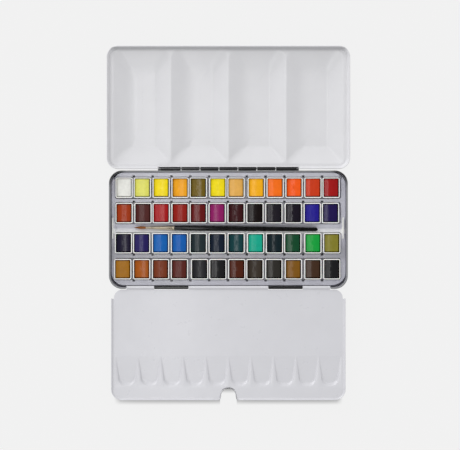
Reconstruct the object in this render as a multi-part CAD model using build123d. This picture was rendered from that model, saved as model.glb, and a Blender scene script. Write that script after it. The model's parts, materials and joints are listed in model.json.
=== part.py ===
from build123d import *
import os
from math import atan2, degrees, sqrt

# Watercolour paint box lying open, in millimetres.
# +X is to the right, +Y goes towards the lid and +Z is up.
# Sizes and places are worked out from the middle of the tray's underside.
# Each piece is then moved so that the origin is on the table, under the open box's middle.

# Tinplate
SHEET = 0.5
RACK_SHEET = 0.4

# Half pans and their layout
PAN_WIDTH = 16.0
PAN_LENGTH = 19.0
PAN_HEIGHT = 9.4
PAN_TAPER = 1.0
PAN_CORNER = 1.3
PAN_WALL = 0.8
PAN_FLOOR = 1.0
PAN_GAP = 1.5
PAN_LEAN = 0.6
CAKE_DROP = 0.6
CAKE_DOME = 0.9
CAKE_SHRINKAGE = 0.2
BACK_STRIP = 4.5
FRONT_STRIP = 5.1
TROUGH_WIDTH = 8.9

# Tray
TRAY_HEIGHT = 15.0
TRAY_CORNER = 12.0
TRAY_DRAFT = 1.0
END_MARGIN = 6.05
BACK_MARGIN = 6.2
FRONT_MARGIN = 8.5
RIM_WIDTH = 1.2
RIM_DEPTH = 1.6
RIM_BEVEL = 0.35
FOOT_WIDTH = 3.0
FOOT_HEIGHT = 2.4
FOOT_BEVEL = 0.8

# Rack
RACK_SHIFT = -1.0
RACK_END = 2.65
RACK_EDGE_CLEARANCE = 1.7
RACK_FRONT_EDGE = 5.3
RACK_CORNER = 9.0
RACK_LEDGE = 8.6
POCKET_PLAY = 0.45
POCKET_END_PLAY = 0.9
POCKET_CORNER = 2.0
TROUGH_DEPTH = 3.4
TONGUE_WIDTH = 4.4
TONGUE_HEIGHT = 6.2
TONGUE_TIP = 1.6
TONGUE_INSET = 0.6
TAB_WIDTH = 20.0
TAB_HEIGHT = 4.2
TAB_LEAN = 1.2

# Lid and its hinge
LID_SIDE_CLEARANCE = 1.25
LID_FRONT_CLEARANCE = 1.6
LID_HEM = 0.7
LID_HEM_HEIGHT = 1.2
LID_HEM_BEVEL = 0.35
LID_CORNER = 10.5
LID_DRAFT = 0.8
LID_OVERLAP = 0.95
LID_DEPTH = 10.55
PLATEAU_DEPTH = 4.2
PLATEAU_BEVEL = 1.3
WELL_COUNT = 4
WELL_RIDGE = 1.0
WELL_SIDE_BAND = 6.2
WELL_FAR_BAND = 3.0
WELL_NEAR_BAND = 5.4
WELL_SIDE_SLOPE = 14.0
WELL_FAR_SLOPE = 18.0
WELL_NEAR_SLOPE = 16.0
WELL_CORNER = 8.0
WELL_SKIN = 0.35
HINGE_OFFSET = 1.9
HINGE_RISE = 0.25
HINGE_HEM_INSET = 0.3
KNUCKLE_RADIUS = 1.6
OUTER_KNUCKLE = 21.0
INNER_KNUCKLE = 16.5
KNUCKLE_COUNT = 7
KNUCKLE_GAP = 1.0
PIN_RADIUS = 0.9
PIN_CLEARANCE = 0.08
HINGE_CLEARANCE = 0.3
HINGE_PLAY = 0.1
OVERCUT = 1.0

# Mixing flap and its hinge
FLAP_AXIS_INSET = 1.1
FLAP_AXIS_DROP = 1.5
FLAP_SIDE_CLEARANCE = 0.7
FLAP_BACK_CLEARANCE = 2.7
FLAP_EDGE_GAP = 1.0
FLAP_FLANGE = 3.4
FLAP_CORNER = 10.0
FLAP_NEAR_CORNER = 7.5
FLAP_STEP = 1.8
FLAP_FLANGE_START = 9.7
BARREL_RADIUS = 1.5
BARREL_LENGTH = 188.5
BARREL_PIN_RADIUS = 0.8
TRAY_KNUCKLE = 31.3
TRAY_KNUCKLE_CENTRE = 52.8
NOTCH_WIDTH = 14.0
NOTCH_DEPTH = 11.0
NOTCH_FLARE = 0.6
CUP_COUNT = 10
CUP_PITCH = 20.9
CUP_DEPTH = 2.4
CUP_BACK_WIDTH = 20.0
CUP_FRONT_WIDTH = 15.0
CUP_LENGTH = 28.0
CUP_FRONT_BAND = 12.6
CUP_WALL_TAPER = 32.0
CUP_SKIN = 0.3

# Brush
BRUSH_LEFT_END = -88.0
BRUSH_LENGTH = 171.2
HAIR_LENGTH = 11.0
HAIR_RADIUS = 1.25
HAIR_SHOULDER = 0.3
HAIR_BELLY = 0.62
HAIR_SHOULDER_RADIUS = 0.85
FERRULE_LENGTH = 26.6
FERRULE_SMALL_RADIUS = 0.95
FERRULE_LARGE_RADIUS = 1.9
CRIMP_DEPTH = 0.2
CRIMP_WIDTH = 0.8
CRIMP_PLACE = 2.6
HANDLE_RADIUS = 2.25
HANDLE_END_RADIUS = 1.75
HANDLE_NECK = 0.08
HANDLE_NECK_RADIUS = 2.1
HANDLE_BELLY = 0.25
HANDLE_WAIST = 0.55
HANDLE_WAIST_RADIUS = 2.15
BRUSH_SLANT = -0.34
BRUSH_CLEARANCE = 0.3

# Thumb ring under the tray
RING_RADIUS = 12.5
RING_WIRE_RADIUS = 0.7
RING_PLACE = 12.0
RING_STRAP_WIDTH = 8.0
RING_STRAP_REACH = 5.0
RING_CLEARANCE = 0.15
RING_FLOOR_GAP = 0.1
RING_BAR = 10.0
STRAP_SHEET = 0.4

PANS_PER_ROW = 12
PAINTS = (
    (
        "white", "lemon_yellow", "primary_yellow", "amber_yellow",
        "olive_gold", "bright_yellow", "naples_yellow", "golden_yellow",
        "light_orange", "deep_orange", "brick_red", "deep_red",
    ),
    (
        "burnt_orange", "maroon_brown", "scarlet_red", "brownish_red",
        "oxide_red", "magenta", "deep_maroon", "brown_black",
        "violet_black", "deep_violet", "ultramarine", "indigo_violet",
    ),
    (
        "night_violet", "blue_violet", "azure_blue", "cobalt_blue",
        "slate_green", "blue_black", "dark_teal", "turquoise",
        "teal_black", "forest_green", "bright_green", "olive_green",
    ),
    (
        "yellow_ochre", "raw_sienna", "burnt_sienna", "reddish_brown",
        "charcoal_grey", "neutral_black", "mahogany_brown", "umber_grey",
        "dark_grey", "ochre_brown", "raw_umber", "ivory_black",
    ),
)
# How each pan leans in its play: left, centred or right.
LEANS = ("RCCCLCLRRRRC", "RRCCLLLLLCCL", "CLLLLLLCCLRR", "LLLLRCCLLCRR")

# Places worked out from the sizes above
pan_pitch = PAN_WIDTH + PAN_GAP
row_length = PANS_PER_ROW * pan_pitch - PAN_GAP
tray_length = row_length + 2 * END_MARGIN
tray_width = 4 * PAN_LENGTH + BACK_STRIP + FRONT_STRIP + TROUGH_WIDTH + BACK_MARGIN + FRONT_MARGIN
tray_back = tray_width / 2
tray_front = -tray_width / 2
row_1 = tray_back - BACK_MARGIN - PAN_LENGTH / 2
row_2 = row_1 - PAN_LENGTH - BACK_STRIP
trough = row_2 - PAN_LENGTH / 2 - TROUGH_WIDTH / 2
row_3 = row_2 - PAN_LENGTH - TROUGH_WIDTH
row_4 = row_3 - PAN_LENGTH - FRONT_STRIP
rows = (row_1, row_2, row_3, row_4)
floor_top = FOOT_HEIGHT + SHEET
pan_bottom = floor_top + RACK_SHEET
pan_top = pan_bottom + PAN_HEIGHT

hinge_y = tray_back + HINGE_OFFSET
lid_closed_rim = TRAY_HEIGHT - LID_OVERLAP
hinge_z = lid_closed_rim + HINGE_RISE
lid_rim = 2 * hinge_z - lid_closed_rim
lid_length = tray_length + 2 * (LID_SIDE_CLEARANCE + SHEET + LID_HEM)
lid_near = hinge_y - HINGE_HEM_INSET
lid_far = 2 * hinge_y - tray_front + LID_FRONT_CLEARANCE + SHEET + LID_HEM
lid_width = lid_far - lid_near
lid_middle = (lid_far + lid_near) / 2

flap_y = tray_front + FLAP_AXIS_INSET
flap_z = TRAY_HEIGHT - FLAP_AXIS_DROP
flap_top = flap_z + SHEET / 2
flap_length = tray_length - 2 * (RIM_WIDTH + FLAP_SIDE_CLEARANCE)
flap_far = 2 * flap_y - (tray_back - RIM_WIDTH - FLAP_BACK_CLEARANCE)
flap_near = tray_front - FLAP_EDGE_GAP


def block(length, width, radius, bottom, top, x=0.0, y=0.0):
    """Upright block with rounded corners between two heights."""
    return Pos(x, y, bottom) * extrude(RectangleRounded(length, width, radius), top - bottom)


def box(x0, x1, y0, y1, z0, z1):
    """Plain box between two corners."""
    middle = Pos((x0 + x1) / 2, (y0 + y1) / 2, (z0 + z1) / 2)
    return middle * Box(x1 - x0, y1 - y0, z1 - z0)


def drafted(length, width, radius, bottom, top, draft, y=0.0):
    """Rounded block that narrows downwards by the draft on each side."""
    outline = RectangleRounded(length, width, radius)
    lean = degrees(atan2(draft, top - bottom))
    return Pos(0, y, top) * extrude(outline, top - bottom, dir=(0, 0, -1), taper=lean)


def sloped(half, near, far, bottom, top, side_lean, near_lean, far_lean):
    """Block with four sloping sides, which lean in by their own amounts at its bottom."""
    across = Polyline(
        (-half, top), (side_lean - half, bottom), (half - side_lean, bottom), (half, top),
        close=True,
    )
    along = Polyline(
        (near, top), (near + near_lean, bottom), (far - far_lean, bottom), (far, top), close=True,
    )
    lengthways = extrude(make_face(Plane.XZ * across), far - near, dir=(0, -1, 0))
    return along_x(make_face(Plane.YZ * along), -half, half) & Pos(0, far, 0) * lengthways


def rod(x0, x1, y, z, radius):
    """Round bar along X."""
    return Pos(x0, y, z) * Rot(0, 90, 0) * extrude(Circle(radius), x1 - x0)


def along_x(face, x0, x1):
    """Extrudes a face drawn on the YZ plane from x0 to x1."""
    return Pos(x0, 0, 0) * extrude(face, x1 - x0, dir=(1, 0, 0))


def roll(x0, x1, y, z, radius, pin_radius):
    """One rolled hinge knuckle: a tube along X round its pin."""
    return rod(x0, x1, y, z, radius) - rod(x0, x1, y, z, pin_radius + PIN_CLEARANCE)


def knuckle_spans():
    """X ranges of the lid hinge's knuckles, from left to right."""
    lengths = [OUTER_KNUCKLE] + [INNER_KNUCKLE] * (KNUCKLE_COUNT - 2) + [OUTER_KNUCKLE]
    start = -(sum(lengths) + KNUCKLE_GAP * (KNUCKLE_COUNT - 1)) / 2
    spans = []
    for length in lengths:
        spans.append((start, start + length))
        start += length + KNUCKLE_GAP
    return spans


def tray_knuckle_spans():
    """X ranges of the two tray knuckles that carry the mixing flap."""
    half = TRAY_KNUCKLE / 2
    return [(side * TRAY_KNUCKLE_CENTRE - half, side * TRAY_KNUCKLE_CENTRE + half) for side in (-1, 1)]


def base_tray():
    """Pressed tray with a hemmed rim, a raised foot and the rolled knuckles of both hinges."""
    outer = drafted(tray_length, tray_width, TRAY_CORNER, 0, TRAY_HEIGHT, TRAY_DRAFT)
    outer = chamfer(outer.faces().sort_by(Axis.Z)[0].edges(), FOOT_BEVEL)
    inside = 2 * SHEET
    hollow = drafted(
        tray_length - inside, tray_width - inside, TRAY_CORNER - SHEET,
        SHEET, TRAY_HEIGHT, TRAY_DRAFT,
    )
    foot_inset = 2 * (TRAY_DRAFT + FOOT_WIDTH)
    recess = block(
        tray_length - foot_inset, tray_width - foot_inset, TRAY_CORNER - FOOT_WIDTH,
        0, FOOT_HEIGHT,
    )
    panel_inset = foot_inset - 2 * SHEET
    panel = block(
        tray_length - panel_inset, tray_width - panel_inset, TRAY_CORNER - FOOT_WIDTH + SHEET,
        0, floor_top,
    )
    hem_inset = 2 * RIM_WIDTH
    hem = block(tray_length, tray_width, TRAY_CORNER, TRAY_HEIGHT - RIM_DEPTH, TRAY_HEIGHT)
    hem = hem & drafted(tray_length, tray_width, TRAY_CORNER, 0, TRAY_HEIGHT, TRAY_DRAFT)
    hem -= block(
        tray_length - hem_inset, tray_width - hem_inset, TRAY_CORNER - RIM_WIDTH,
        TRAY_HEIGHT - RIM_DEPTH, TRAY_HEIGHT,
    )
    tray = outer - hollow + hem
    tray = chamfer(tray.faces().sort_by(Axis.Z)[-1].edges(), RIM_BEVEL)
    tray = tray + panel - recess

    # The front rim is cut down where the flap's barrel lies in it.
    barrel_seat = BARREL_RADIUS + HINGE_CLEARANCE + HINGE_PLAY
    half_seat = BARREL_LENGTH / 2 + HINGE_CLEARANCE
    tray -= box(
        -half_seat, half_seat, tray_front - OVERCUT, flap_y + barrel_seat,
        flap_z - barrel_seat, TRAY_HEIGHT + OVERCUT,
    )
    bore = rod(-half_seat, half_seat, flap_y, flap_z, BARREL_PIN_RADIUS + PIN_CLEARANCE)
    for x0, x1 in tray_knuckle_spans():
        leaf = box(x0, x1, tray_front, tray_front + SHEET, flap_z - 2 * BARREL_RADIUS, flap_z)
        tray += leaf - bore
        tray += roll(x0, x1, flap_y, flap_z, BARREL_RADIUS, BARREL_PIN_RADIUS)

    # Every second knuckle of the lid's hinge is rolled from the tray's back wall.
    leaf_bottom = hinge_z - KNUCKLE_RADIUS
    for x0, x1 in knuckle_spans()[::2]:
        tray += box(x0, x1, tray_back - SHEET, hinge_y, leaf_bottom, leaf_bottom + SHEET)
        tray += roll(x0, x1, hinge_y, hinge_z, KNUCKLE_RADIUS, PIN_RADIUS)
    return tray


def lid_wells(drop, grow):
    """The four mixing wells as blocks with four slopes, lowered and widened for the outer skin."""
    top = lid_rim - PLATEAU_DEPTH - drop
    bottom = lid_rim - LID_DEPTH + SHEET - drop
    far = lid_far - WELL_FAR_BAND
    near = lid_near + WELL_NEAR_BAND
    span = lid_length - 2 * WELL_SIDE_BAND
    width = (span - (WELL_COUNT - 1) * WELL_RIDGE) / WELL_COUNT
    y = (far + near) / 2
    half = width / 2 + grow
    well = sloped(
        half, near - grow, far + grow, bottom, top,
        WELL_SIDE_SLOPE, WELL_NEAR_SLOPE, WELL_FAR_SLOPE,
    )
    well &= block(2 * half, far - near + 2 * grow, WELL_CORNER + grow, bottom, top, 0, y)
    steps = [i - (WELL_COUNT - 1) / 2 for i in range(WELL_COUNT)]
    return [Pos(step * (width + WELL_RIDGE), 0, 0) * well for step in steps]


def lid():
    """Pressed lid, open flat: hemmed skirt, shallow plateau and four mixing wells."""
    skirt_length = lid_length - 2 * LID_HEM
    skirt_width = lid_width - 2 * LID_HEM
    corner = LID_CORNER - LID_HEM
    plateau = lid_rim - PLATEAU_DEPTH
    skin = drafted(
        skirt_length, skirt_width, corner, plateau - SHEET, lid_rim, LID_DRAFT, lid_middle,
    )
    skin = chamfer(skin.faces().sort_by(Axis.Z)[0].edges(), PLATEAU_BEVEL)
    hollow = drafted(
        skirt_length - 2 * SHEET, skirt_width - 2 * SHEET, corner - SHEET,
        plateau, lid_rim, LID_DRAFT, lid_middle,
    )
    hollow = chamfer(hollow.faces().sort_by(Axis.Z)[0].edges(), PLATEAU_BEVEL - SHEET / 2)
    hem = block(
        lid_length, lid_width, LID_CORNER, lid_rim - LID_HEM_HEIGHT, lid_rim, 0, lid_middle,
    )
    hem_faces = hem.faces().sort_by(Axis.Z)
    hem = chamfer(hem_faces[0].edges() + hem_faces[-1].edges(), LID_HEM_BEVEL)
    shell = skin + hem
    for well in lid_wells(SHEET, WELL_SKIN):
        shell += well
    shell -= hollow
    for well in lid_wells(0.0, 0.0):
        shell -= well

    # The skirt is cut away along the hinge and every second knuckle is rolled from it.
    spans = knuckle_spans()
    left = spans[0][0] - HINGE_CLEARANCE
    right = spans[-1][1] + HINGE_CLEARANCE
    clear = KNUCKLE_RADIUS + HINGE_CLEARANCE
    shell -= box(
        left, right, lid_near - OVERCUT, hinge_y + clear + 2 * HINGE_PLAY,
        hinge_z - clear, lid_rim + OVERCUT,
    )
    wall = lid_near + LID_HEM
    bore = rod(left, right, hinge_y, hinge_z, PIN_RADIUS + PIN_CLEARANCE)
    for x0, x1 in spans[1::2]:
        leaf = box(x0, x1, wall + HINGE_PLAY, wall + SHEET, hinge_z - clear - OVERCUT, hinge_z)
        shell += leaf - bore
        shell += roll(x0, x1, hinge_y, hinge_z, KNUCKLE_RADIUS, PIN_RADIUS)
    return shell


def flap_outline(inset):
    """Plan of the mixing flap's plate with its finger notch, drawn inside by an inset."""
    half = flap_length / 2 - inset
    near_half = flap_length / 2 - FLAP_STEP
    far = flap_far + inset
    step = flap_near - FLAP_FLANGE_START
    wide = Pos(0, (far + step) / 2) * Rectangle(2 * half, step - far)
    wide = fillet(wide.vertices().group_by(Axis.Y)[0], FLAP_CORNER - inset)
    neck = Pos(0, (step + flap_near) / 2) * Rectangle(2 * near_half, flap_near - step)
    neck = fillet(neck.vertices().group_by(Axis.Y)[-1], FLAP_NEAR_CORNER)
    radius = NOTCH_WIDTH / 2 + inset
    centre = flap_far + NOTCH_DEPTH - NOTCH_WIDTH / 2
    mouth = flap_far - OVERCUT
    flare = radius + NOTCH_FLARE
    sides = Polyline((-radius, centre), (-flare, mouth), (flare, mouth), (radius, centre), close=True)
    notch = Pos(0, centre) * Circle(radius) + make_face(sides)
    return wide + neck - notch


def cup_wells(drop, grow):
    """The row of small wells: tapered pockets over a floor that slopes down to the front."""
    back = flap_far + CUP_FRONT_BAND + CUP_LENGTH
    front = flap_far + CUP_FRONT_BAND
    top = flap_top - drop
    end = CUP_FRONT_WIDTH / 2 + grow
    shoulder = front + CUP_FRONT_WIDTH / 2
    back_half = CUP_BACK_WIDTH / 2 + grow
    wells = []
    for i in range(CUP_COUNT):
        x = (i - (CUP_COUNT - 1) / 2) * CUP_PITCH
        sides = Polyline((end, shoulder), (back_half, back), (-back_half, back), (-end, shoulder))
        nose = ThreePointArc((-end, shoulder), (0, front - grow), (end, shoulder))
        outline = make_face(Curve() + [sides, nose])
        pocket = extrude(outline, 2 * CUP_DEPTH, dir=(0, 0, -1), taper=CUP_WALL_TAPER)
        wells.append(Pos(x, 0, top) * pocket)
    slope = CUP_DEPTH / (CUP_LENGTH - CUP_FRONT_WIDTH / 2)
    low = top - CUP_DEPTH
    beyond = front - 2 * OVERCUT
    floor = Polyline(
        (back, top), (back - CUP_DEPTH / slope, low), (beyond, low), (beyond, top), close=True,
    )
    span = CUP_COUNT * CUP_PITCH + CUP_BACK_WIDTH
    wedge = along_x(make_face(Plane.YZ * floor), -span / 2, span / 2)
    return [well & wedge for well in wells]


def mixing_flap():
    """Second palette: a flanged plate with ten small wells, hinged in the tray's front rim."""
    bottom = flap_top - SHEET
    plate = Pos(0, 0, bottom) * extrude(flap_outline(0), SHEET)
    flange = Pos(0, 0, flap_top - FLAP_FLANGE) * extrude(flap_outline(0), FLAP_FLANGE - SHEET)
    flange -= Pos(0, 0, flap_top - FLAP_FLANGE) * extrude(flap_outline(SHEET), FLAP_FLANGE - SHEET)
    half = flap_length / 2 + OVERCUT
    flange_start = flap_near - FLAP_FLANGE_START
    flange -= box(-half, half, flange_start, flap_near + OVERCUT, bottom - FLAP_FLANGE, bottom)
    flap = plate + flange
    for well in cup_wells(SHEET, CUP_SKIN):
        flap += well
    for well in cup_wells(0.0, 0.0):
        flap -= well

    # The plate runs back into a rolled barrel, with windows for the tray's knuckles.
    half_barrel = BARREL_LENGTH / 2
    flap += box(-half_barrel, half_barrel, flap_near - OVERCUT, flap_y, bottom, flap_top)
    flap += rod(-half_barrel, half_barrel, flap_y, flap_z, BARREL_RADIUS)
    flap -= rod(-half_barrel, half_barrel, flap_y, flap_z, BARREL_PIN_RADIUS + PIN_CLEARANCE)
    window = BARREL_RADIUS + 2 * HINGE_CLEARANCE
    for x0, x1 in tray_knuckle_spans():
        flap -= box(
            x0 - HINGE_CLEARANCE, x1 + HINGE_CLEARANCE, flap_y - window, flap_y + window,
            flap_z - window, flap_z + window,
        )
    return flap


def trough_section(drop):
    """Half-round gutter between the second and third rows, drawn on the YZ plane."""
    half = TROUGH_WIDTH / 2 - POCKET_PLAY - RACK_SHEET
    top = RACK_LEDGE - drop
    arc = ThreePointArc((trough - half, top), (trough, top - TROUGH_DEPTH), (trough + half, top))
    chord = Line((trough + half, top), (trough - half, top))
    return make_face(Plane.YZ * (Curve() + [arc, chord]))


def tongue(x, y):
    """Spring tongue lanced from a pocket's floor and bent upright between two pans."""
    half = TONGUE_WIDTH / 2
    tip = TONGUE_TIP / 2
    top = floor_top + TONGUE_HEIGHT
    shoulder = top - half + tip
    outline = Polyline(
        (-half, floor_top), (half, floor_top), (half, shoulder), (tip, top), (-tip, top),
        (-half, shoulder), close=True,
    )
    face = make_face(Plane.YZ * outline)
    return Pos(0, y, 0) * along_x(face, x - RACK_SHEET / 2, x + RACK_SHEET / 2)


def pan_rack():
    """Pressed insert: a ledge with four long pockets, a brush gutter, tongues and end tabs."""
    left = -row_length / 2 - RACK_END + RACK_SHIFT
    right = row_length / 2 + RACK_END + RACK_SHIFT
    back = tray_back - RACK_EDGE_CLEARANCE
    front = row_4 - PAN_LENGTH / 2 - RACK_FRONT_EDGE
    middle_x = (left + right) / 2
    middle_y = (back + front) / 2
    rack = block(
        right - left, back - front, RACK_CORNER, RACK_LEDGE - RACK_SHEET, RACK_LEDGE,
        middle_x, middle_y,
    )
    length = row_length + 2 * POCKET_END_PLAY
    width = PAN_LENGTH + 2 * POCKET_PLAY
    skin = 2 * RACK_SHEET
    for y in rows:
        rack += block(
            length + skin, width + skin, POCKET_CORNER + RACK_SHEET, floor_top, RACK_LEDGE,
            RACK_SHIFT, y,
        )
    gutter_end = length / 2
    gutter = along_x(trough_section(0), RACK_SHIFT - gutter_end, RACK_SHIFT + gutter_end)
    shell = along_x(
        trough_section(RACK_SHEET), RACK_SHIFT - gutter_end, RACK_SHIFT + gutter_end,
    )
    rack += shell
    rack -= gutter
    for y in rows:
        rack -= block(length, width, POCKET_CORNER, pan_bottom, RACK_LEDGE, RACK_SHIFT, y)

    # One tongue stands in every gap, at the outer end of its row's pans.
    for y, side in zip(rows, (1, 1, -1, -1)):
        tongue_y = y + side * (PAN_LENGTH / 2 - TONGUE_INSET - TONGUE_WIDTH / 2)
        for i in range(1, PANS_PER_ROW):
            x = RACK_SHIFT + (i - PANS_PER_ROW / 2) * pan_pitch
            half = TONGUE_WIDTH / 2
            rack -= box(
                x, x + TONGUE_HEIGHT, tongue_y - half, tongue_y + half, floor_top, pan_bottom,
            )
            rack += tongue(x, tongue_y)

    # The lifting tabs lean to the right, as the bent sheet of the real rack does.
    tab_bottom = RACK_LEDGE - RACK_SHEET
    tab_top = tab_bottom + TAB_HEIGHT
    for foot in (left, right - RACK_SHEET):
        outline = Polyline(
            (foot, tab_bottom), (foot + RACK_SHEET, tab_bottom),
            (foot + RACK_SHEET + TAB_LEAN, tab_top), (foot + TAB_LEAN, tab_top), close=True,
        )
        face = make_face(Plane.XZ * outline)
        rack += Pos(0, trough + TAB_WIDTH / 2, 0) * extrude(face, TAB_WIDTH, dir=(0, -1, 0))
    return rack


def tapered_cup(inset, corner, bottom, top):
    """Tapered block of a pan's section, smaller all round by an inset, between two heights."""
    taper = PAN_TAPER / PAN_HEIGHT
    shrink = inset + taper * (pan_top - top)
    half_width = PAN_WIDTH / 2 - shrink
    half_length = PAN_LENGTH / 2 - shrink
    lean = taper * (top - bottom)
    cup = sloped(half_width, -half_length, half_length, bottom, top, lean, lean, lean)
    if corner:
        outline = Rectangle(2 * half_width, 2 * half_length)
        outline = chamfer(outline.vertices(), corner)
        cup &= Pos(0, 0, bottom) * extrude(outline, top - bottom)
    return cup


def pan_and_cake():
    """A half pan's plastic cup and the gently domed cake of paint that has dried in it."""
    cake_bottom = pan_bottom + PAN_FLOOR
    cake_top = pan_top - CAKE_DROP
    cup = tapered_cup(0, PAN_CORNER, pan_bottom, pan_top)
    cup -= tapered_cup(PAN_WALL, 0, cake_bottom, pan_top)
    cake = tapered_cup(PAN_WALL + CAKE_SHRINKAGE, 0, cake_bottom, cake_top)
    half = PAN_WIDTH / 2 - PAN_WALL
    bend = half * half / (2 * CAKE_DOME) + CAKE_DOME / 2
    dome = Pos(0, PAN_LENGTH, cake_top - bend) * Rot(90, 0, 0)
    cake &= dome * extrude(Circle(bend), 2 * PAN_LENGTH)
    return cup, cake


def brush_place():
    """Where the brush lies: along the gutter, resting just clear of its floor."""
    x = BRUSH_LEFT_END
    z = RACK_LEDGE - TROUGH_DEPTH + BRUSH_CLEARANCE + HANDLE_RADIUS
    middle = x + BRUSH_LENGTH / 2
    return Pos(middle, trough, z) * Rot(0, 0, BRUSH_SLANT) * Pos(-BRUSH_LENGTH / 2, 0, 0)


def turned(points):
    """Solid turned about the X axis from a profile of X and radius."""
    return revolve(make_face(points), Axis.X, 360)


def brush_hair():
    """Pointed tuft with a full belly, bound by the ferrule."""
    profile = Polyline(
        (0, 0),
        (HAIR_LENGTH * HAIR_SHOULDER, HAIR_SHOULDER_RADIUS),
        (HAIR_LENGTH * HAIR_BELLY, HAIR_RADIUS),
        (HAIR_LENGTH, FERRULE_SMALL_RADIUS),
        (HAIR_LENGTH, 0),
        close=True,
    )
    return turned(profile)


def ferrule_radius(x):
    """Radius of the tapered ferrule at a distance from the brush's tip."""
    share = (x - HAIR_LENGTH) / FERRULE_LENGTH
    return FERRULE_SMALL_RADIUS + share * (FERRULE_LARGE_RADIUS - FERRULE_SMALL_RADIUS)


def brush_ferrule():
    """Tapered metal ferrule with a crimped ring near the handle."""
    start = HAIR_LENGTH
    end = HAIR_LENGTH + FERRULE_LENGTH
    crimp = end - CRIMP_PLACE
    profile = Polyline(
        (start, 0),
        (end, 0),
        (end, ferrule_radius(end)),
        (crimp + CRIMP_WIDTH, ferrule_radius(crimp + CRIMP_WIDTH)),
        (crimp, ferrule_radius(crimp) - CRIMP_DEPTH),
        (crimp - CRIMP_WIDTH, ferrule_radius(crimp - CRIMP_WIDTH)),
        (start, ferrule_radius(start)),
        close=True,
    )
    return turned(profile)


def brush_handle():
    """Lacquered handle, thickest a quarter of the way from the ferrule, with a round end."""
    end = HAIR_LENGTH + FERRULE_LENGTH
    neck = FERRULE_LARGE_RADIUS
    run = BRUSH_LENGTH - end
    nose_start = BRUSH_LENGTH - HANDLE_END_RADIUS
    nose_45 = HANDLE_END_RADIUS * sqrt(0.5)
    side = Polyline(
        (end, neck),
        (end + run * HANDLE_NECK, HANDLE_NECK_RADIUS),
        (end + run * HANDLE_BELLY, HANDLE_RADIUS),
        (end + run * HANDLE_WAIST, HANDLE_WAIST_RADIUS),
        (nose_start, HANDLE_END_RADIUS),
    )
    nose = ThreePointArc(
        (nose_start, HANDLE_END_RADIUS), (nose_start + nose_45, nose_45), (BRUSH_LENGTH, 0),
    )
    back = Polyline((BRUSH_LENGTH, 0), (end, 0), (end, neck))
    return turned(Curve() + [side, nose, back])


def ring_height():
    """Height of the folded thumb ring's wire: its strap just clears the table."""
    return RING_WIRE_RADIUS + RING_CLEARANCE + STRAP_SHEET + RING_FLOOR_GAP


def thumb_ring():
    """Ring folded flat under the tray, its loop closed by the round bar in its strap."""
    bar = RING_BAR / 2
    drop = sqrt(RING_RADIUS ** 2 - bar ** 2)
    z = ring_height()
    half = RING_WIRE_RADIUS
    band = Pos(0, RING_PLACE - drop) * (Circle(RING_RADIUS + half) - Circle(RING_RADIUS - half))
    keep = RING_PLACE - drop
    band &= Pos(0, keep - RING_RADIUS + drop / 2) * Rectangle(4 * RING_RADIUS, 2 * RING_RADIUS + drop)
    loop = Pos(0, 0, z - half) * extrude(band, 2 * half)
    return loop + rod(-bar - half, bar + half, RING_PLACE, z, half)


def ring_strap():
    """Bent strap that carries the ring's bar, with two rivets through the tray's floor."""
    z = ring_height()
    inner = RING_WIRE_RADIUS + RING_CLEARANCE
    outer = inner + STRAP_SHEET
    half = RING_STRAP_WIDTH / 2
    reach = RING_PLACE + outer + RING_STRAP_REACH
    loop = rod(-half, half, RING_PLACE, z, outer)
    loop -= box(-half, half, RING_PLACE - outer, RING_PLACE + outer, z, z + outer)
    loop += box(-half, half, RING_PLACE - outer, RING_PLACE + outer, z, FOOT_HEIGHT)
    loop -= rod(-half, half, RING_PLACE, z, inner)
    loop -= box(-half, half, RING_PLACE - inner, RING_PLACE + inner, z, FOOT_HEIGHT)
    loop += box(-half, half, RING_PLACE + inner, reach, FOOT_HEIGHT - STRAP_SHEET, FOOT_HEIGHT)
    return loop


def save(name, *shapes):
    """Writes one node's solids to its own file, with the open box centred on the origin."""
    home = Pos(0, -(lid_far + flap_far) / 2, 0)
    solids = [home * solid for shape in shapes for solid in shape.solids()]
    whole = Compound(solids) if len(solids) > 1 else solids[0]
    export_step(whole, f"parts/{name}.step")


def main():
    os.makedirs("parts", exist_ok=True)
    save("base_tray", base_tray())
    save("lid", lid())
    save("mixing_flap", mixing_flap())
    save("pan_rack", pan_rack())
    spans = knuckle_spans()
    save("lid_hinge_pin", rod(spans[0][0], spans[-1][1], hinge_y, hinge_z, PIN_RADIUS))
    barrel = BARREL_LENGTH / 2
    save("flap_hinge_pin", rod(-barrel, barrel, flap_y, flap_z, BARREL_PIN_RADIUS))
    cup, cake = pan_and_cake()
    steps = {"L": -PAN_LEAN, "C": 0.0, "R": PAN_LEAN}
    for y, names, leans in zip(rows, PAINTS, LEANS):
        for i, (name, lean) in enumerate(zip(names, leans)):
            x = RACK_SHIFT + (i - (PANS_PER_ROW - 1) / 2) * pan_pitch + steps[lean]
            save(f"pan_{name}", Pos(x, y, 0) * cup, Pos(x, y, 0) * cake)
    place = brush_place()
    save("brush_hair", place * brush_hair())
    save("brush_ferrule", place * brush_ferrule())
    save("brush_handle", place * brush_handle())
    save("thumb_ring", thumb_ring())
    save("ring_strap", ring_strap())


main()
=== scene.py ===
import json
from math import pi, radians

import bmesh
import bpy
import numpy as np

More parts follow.
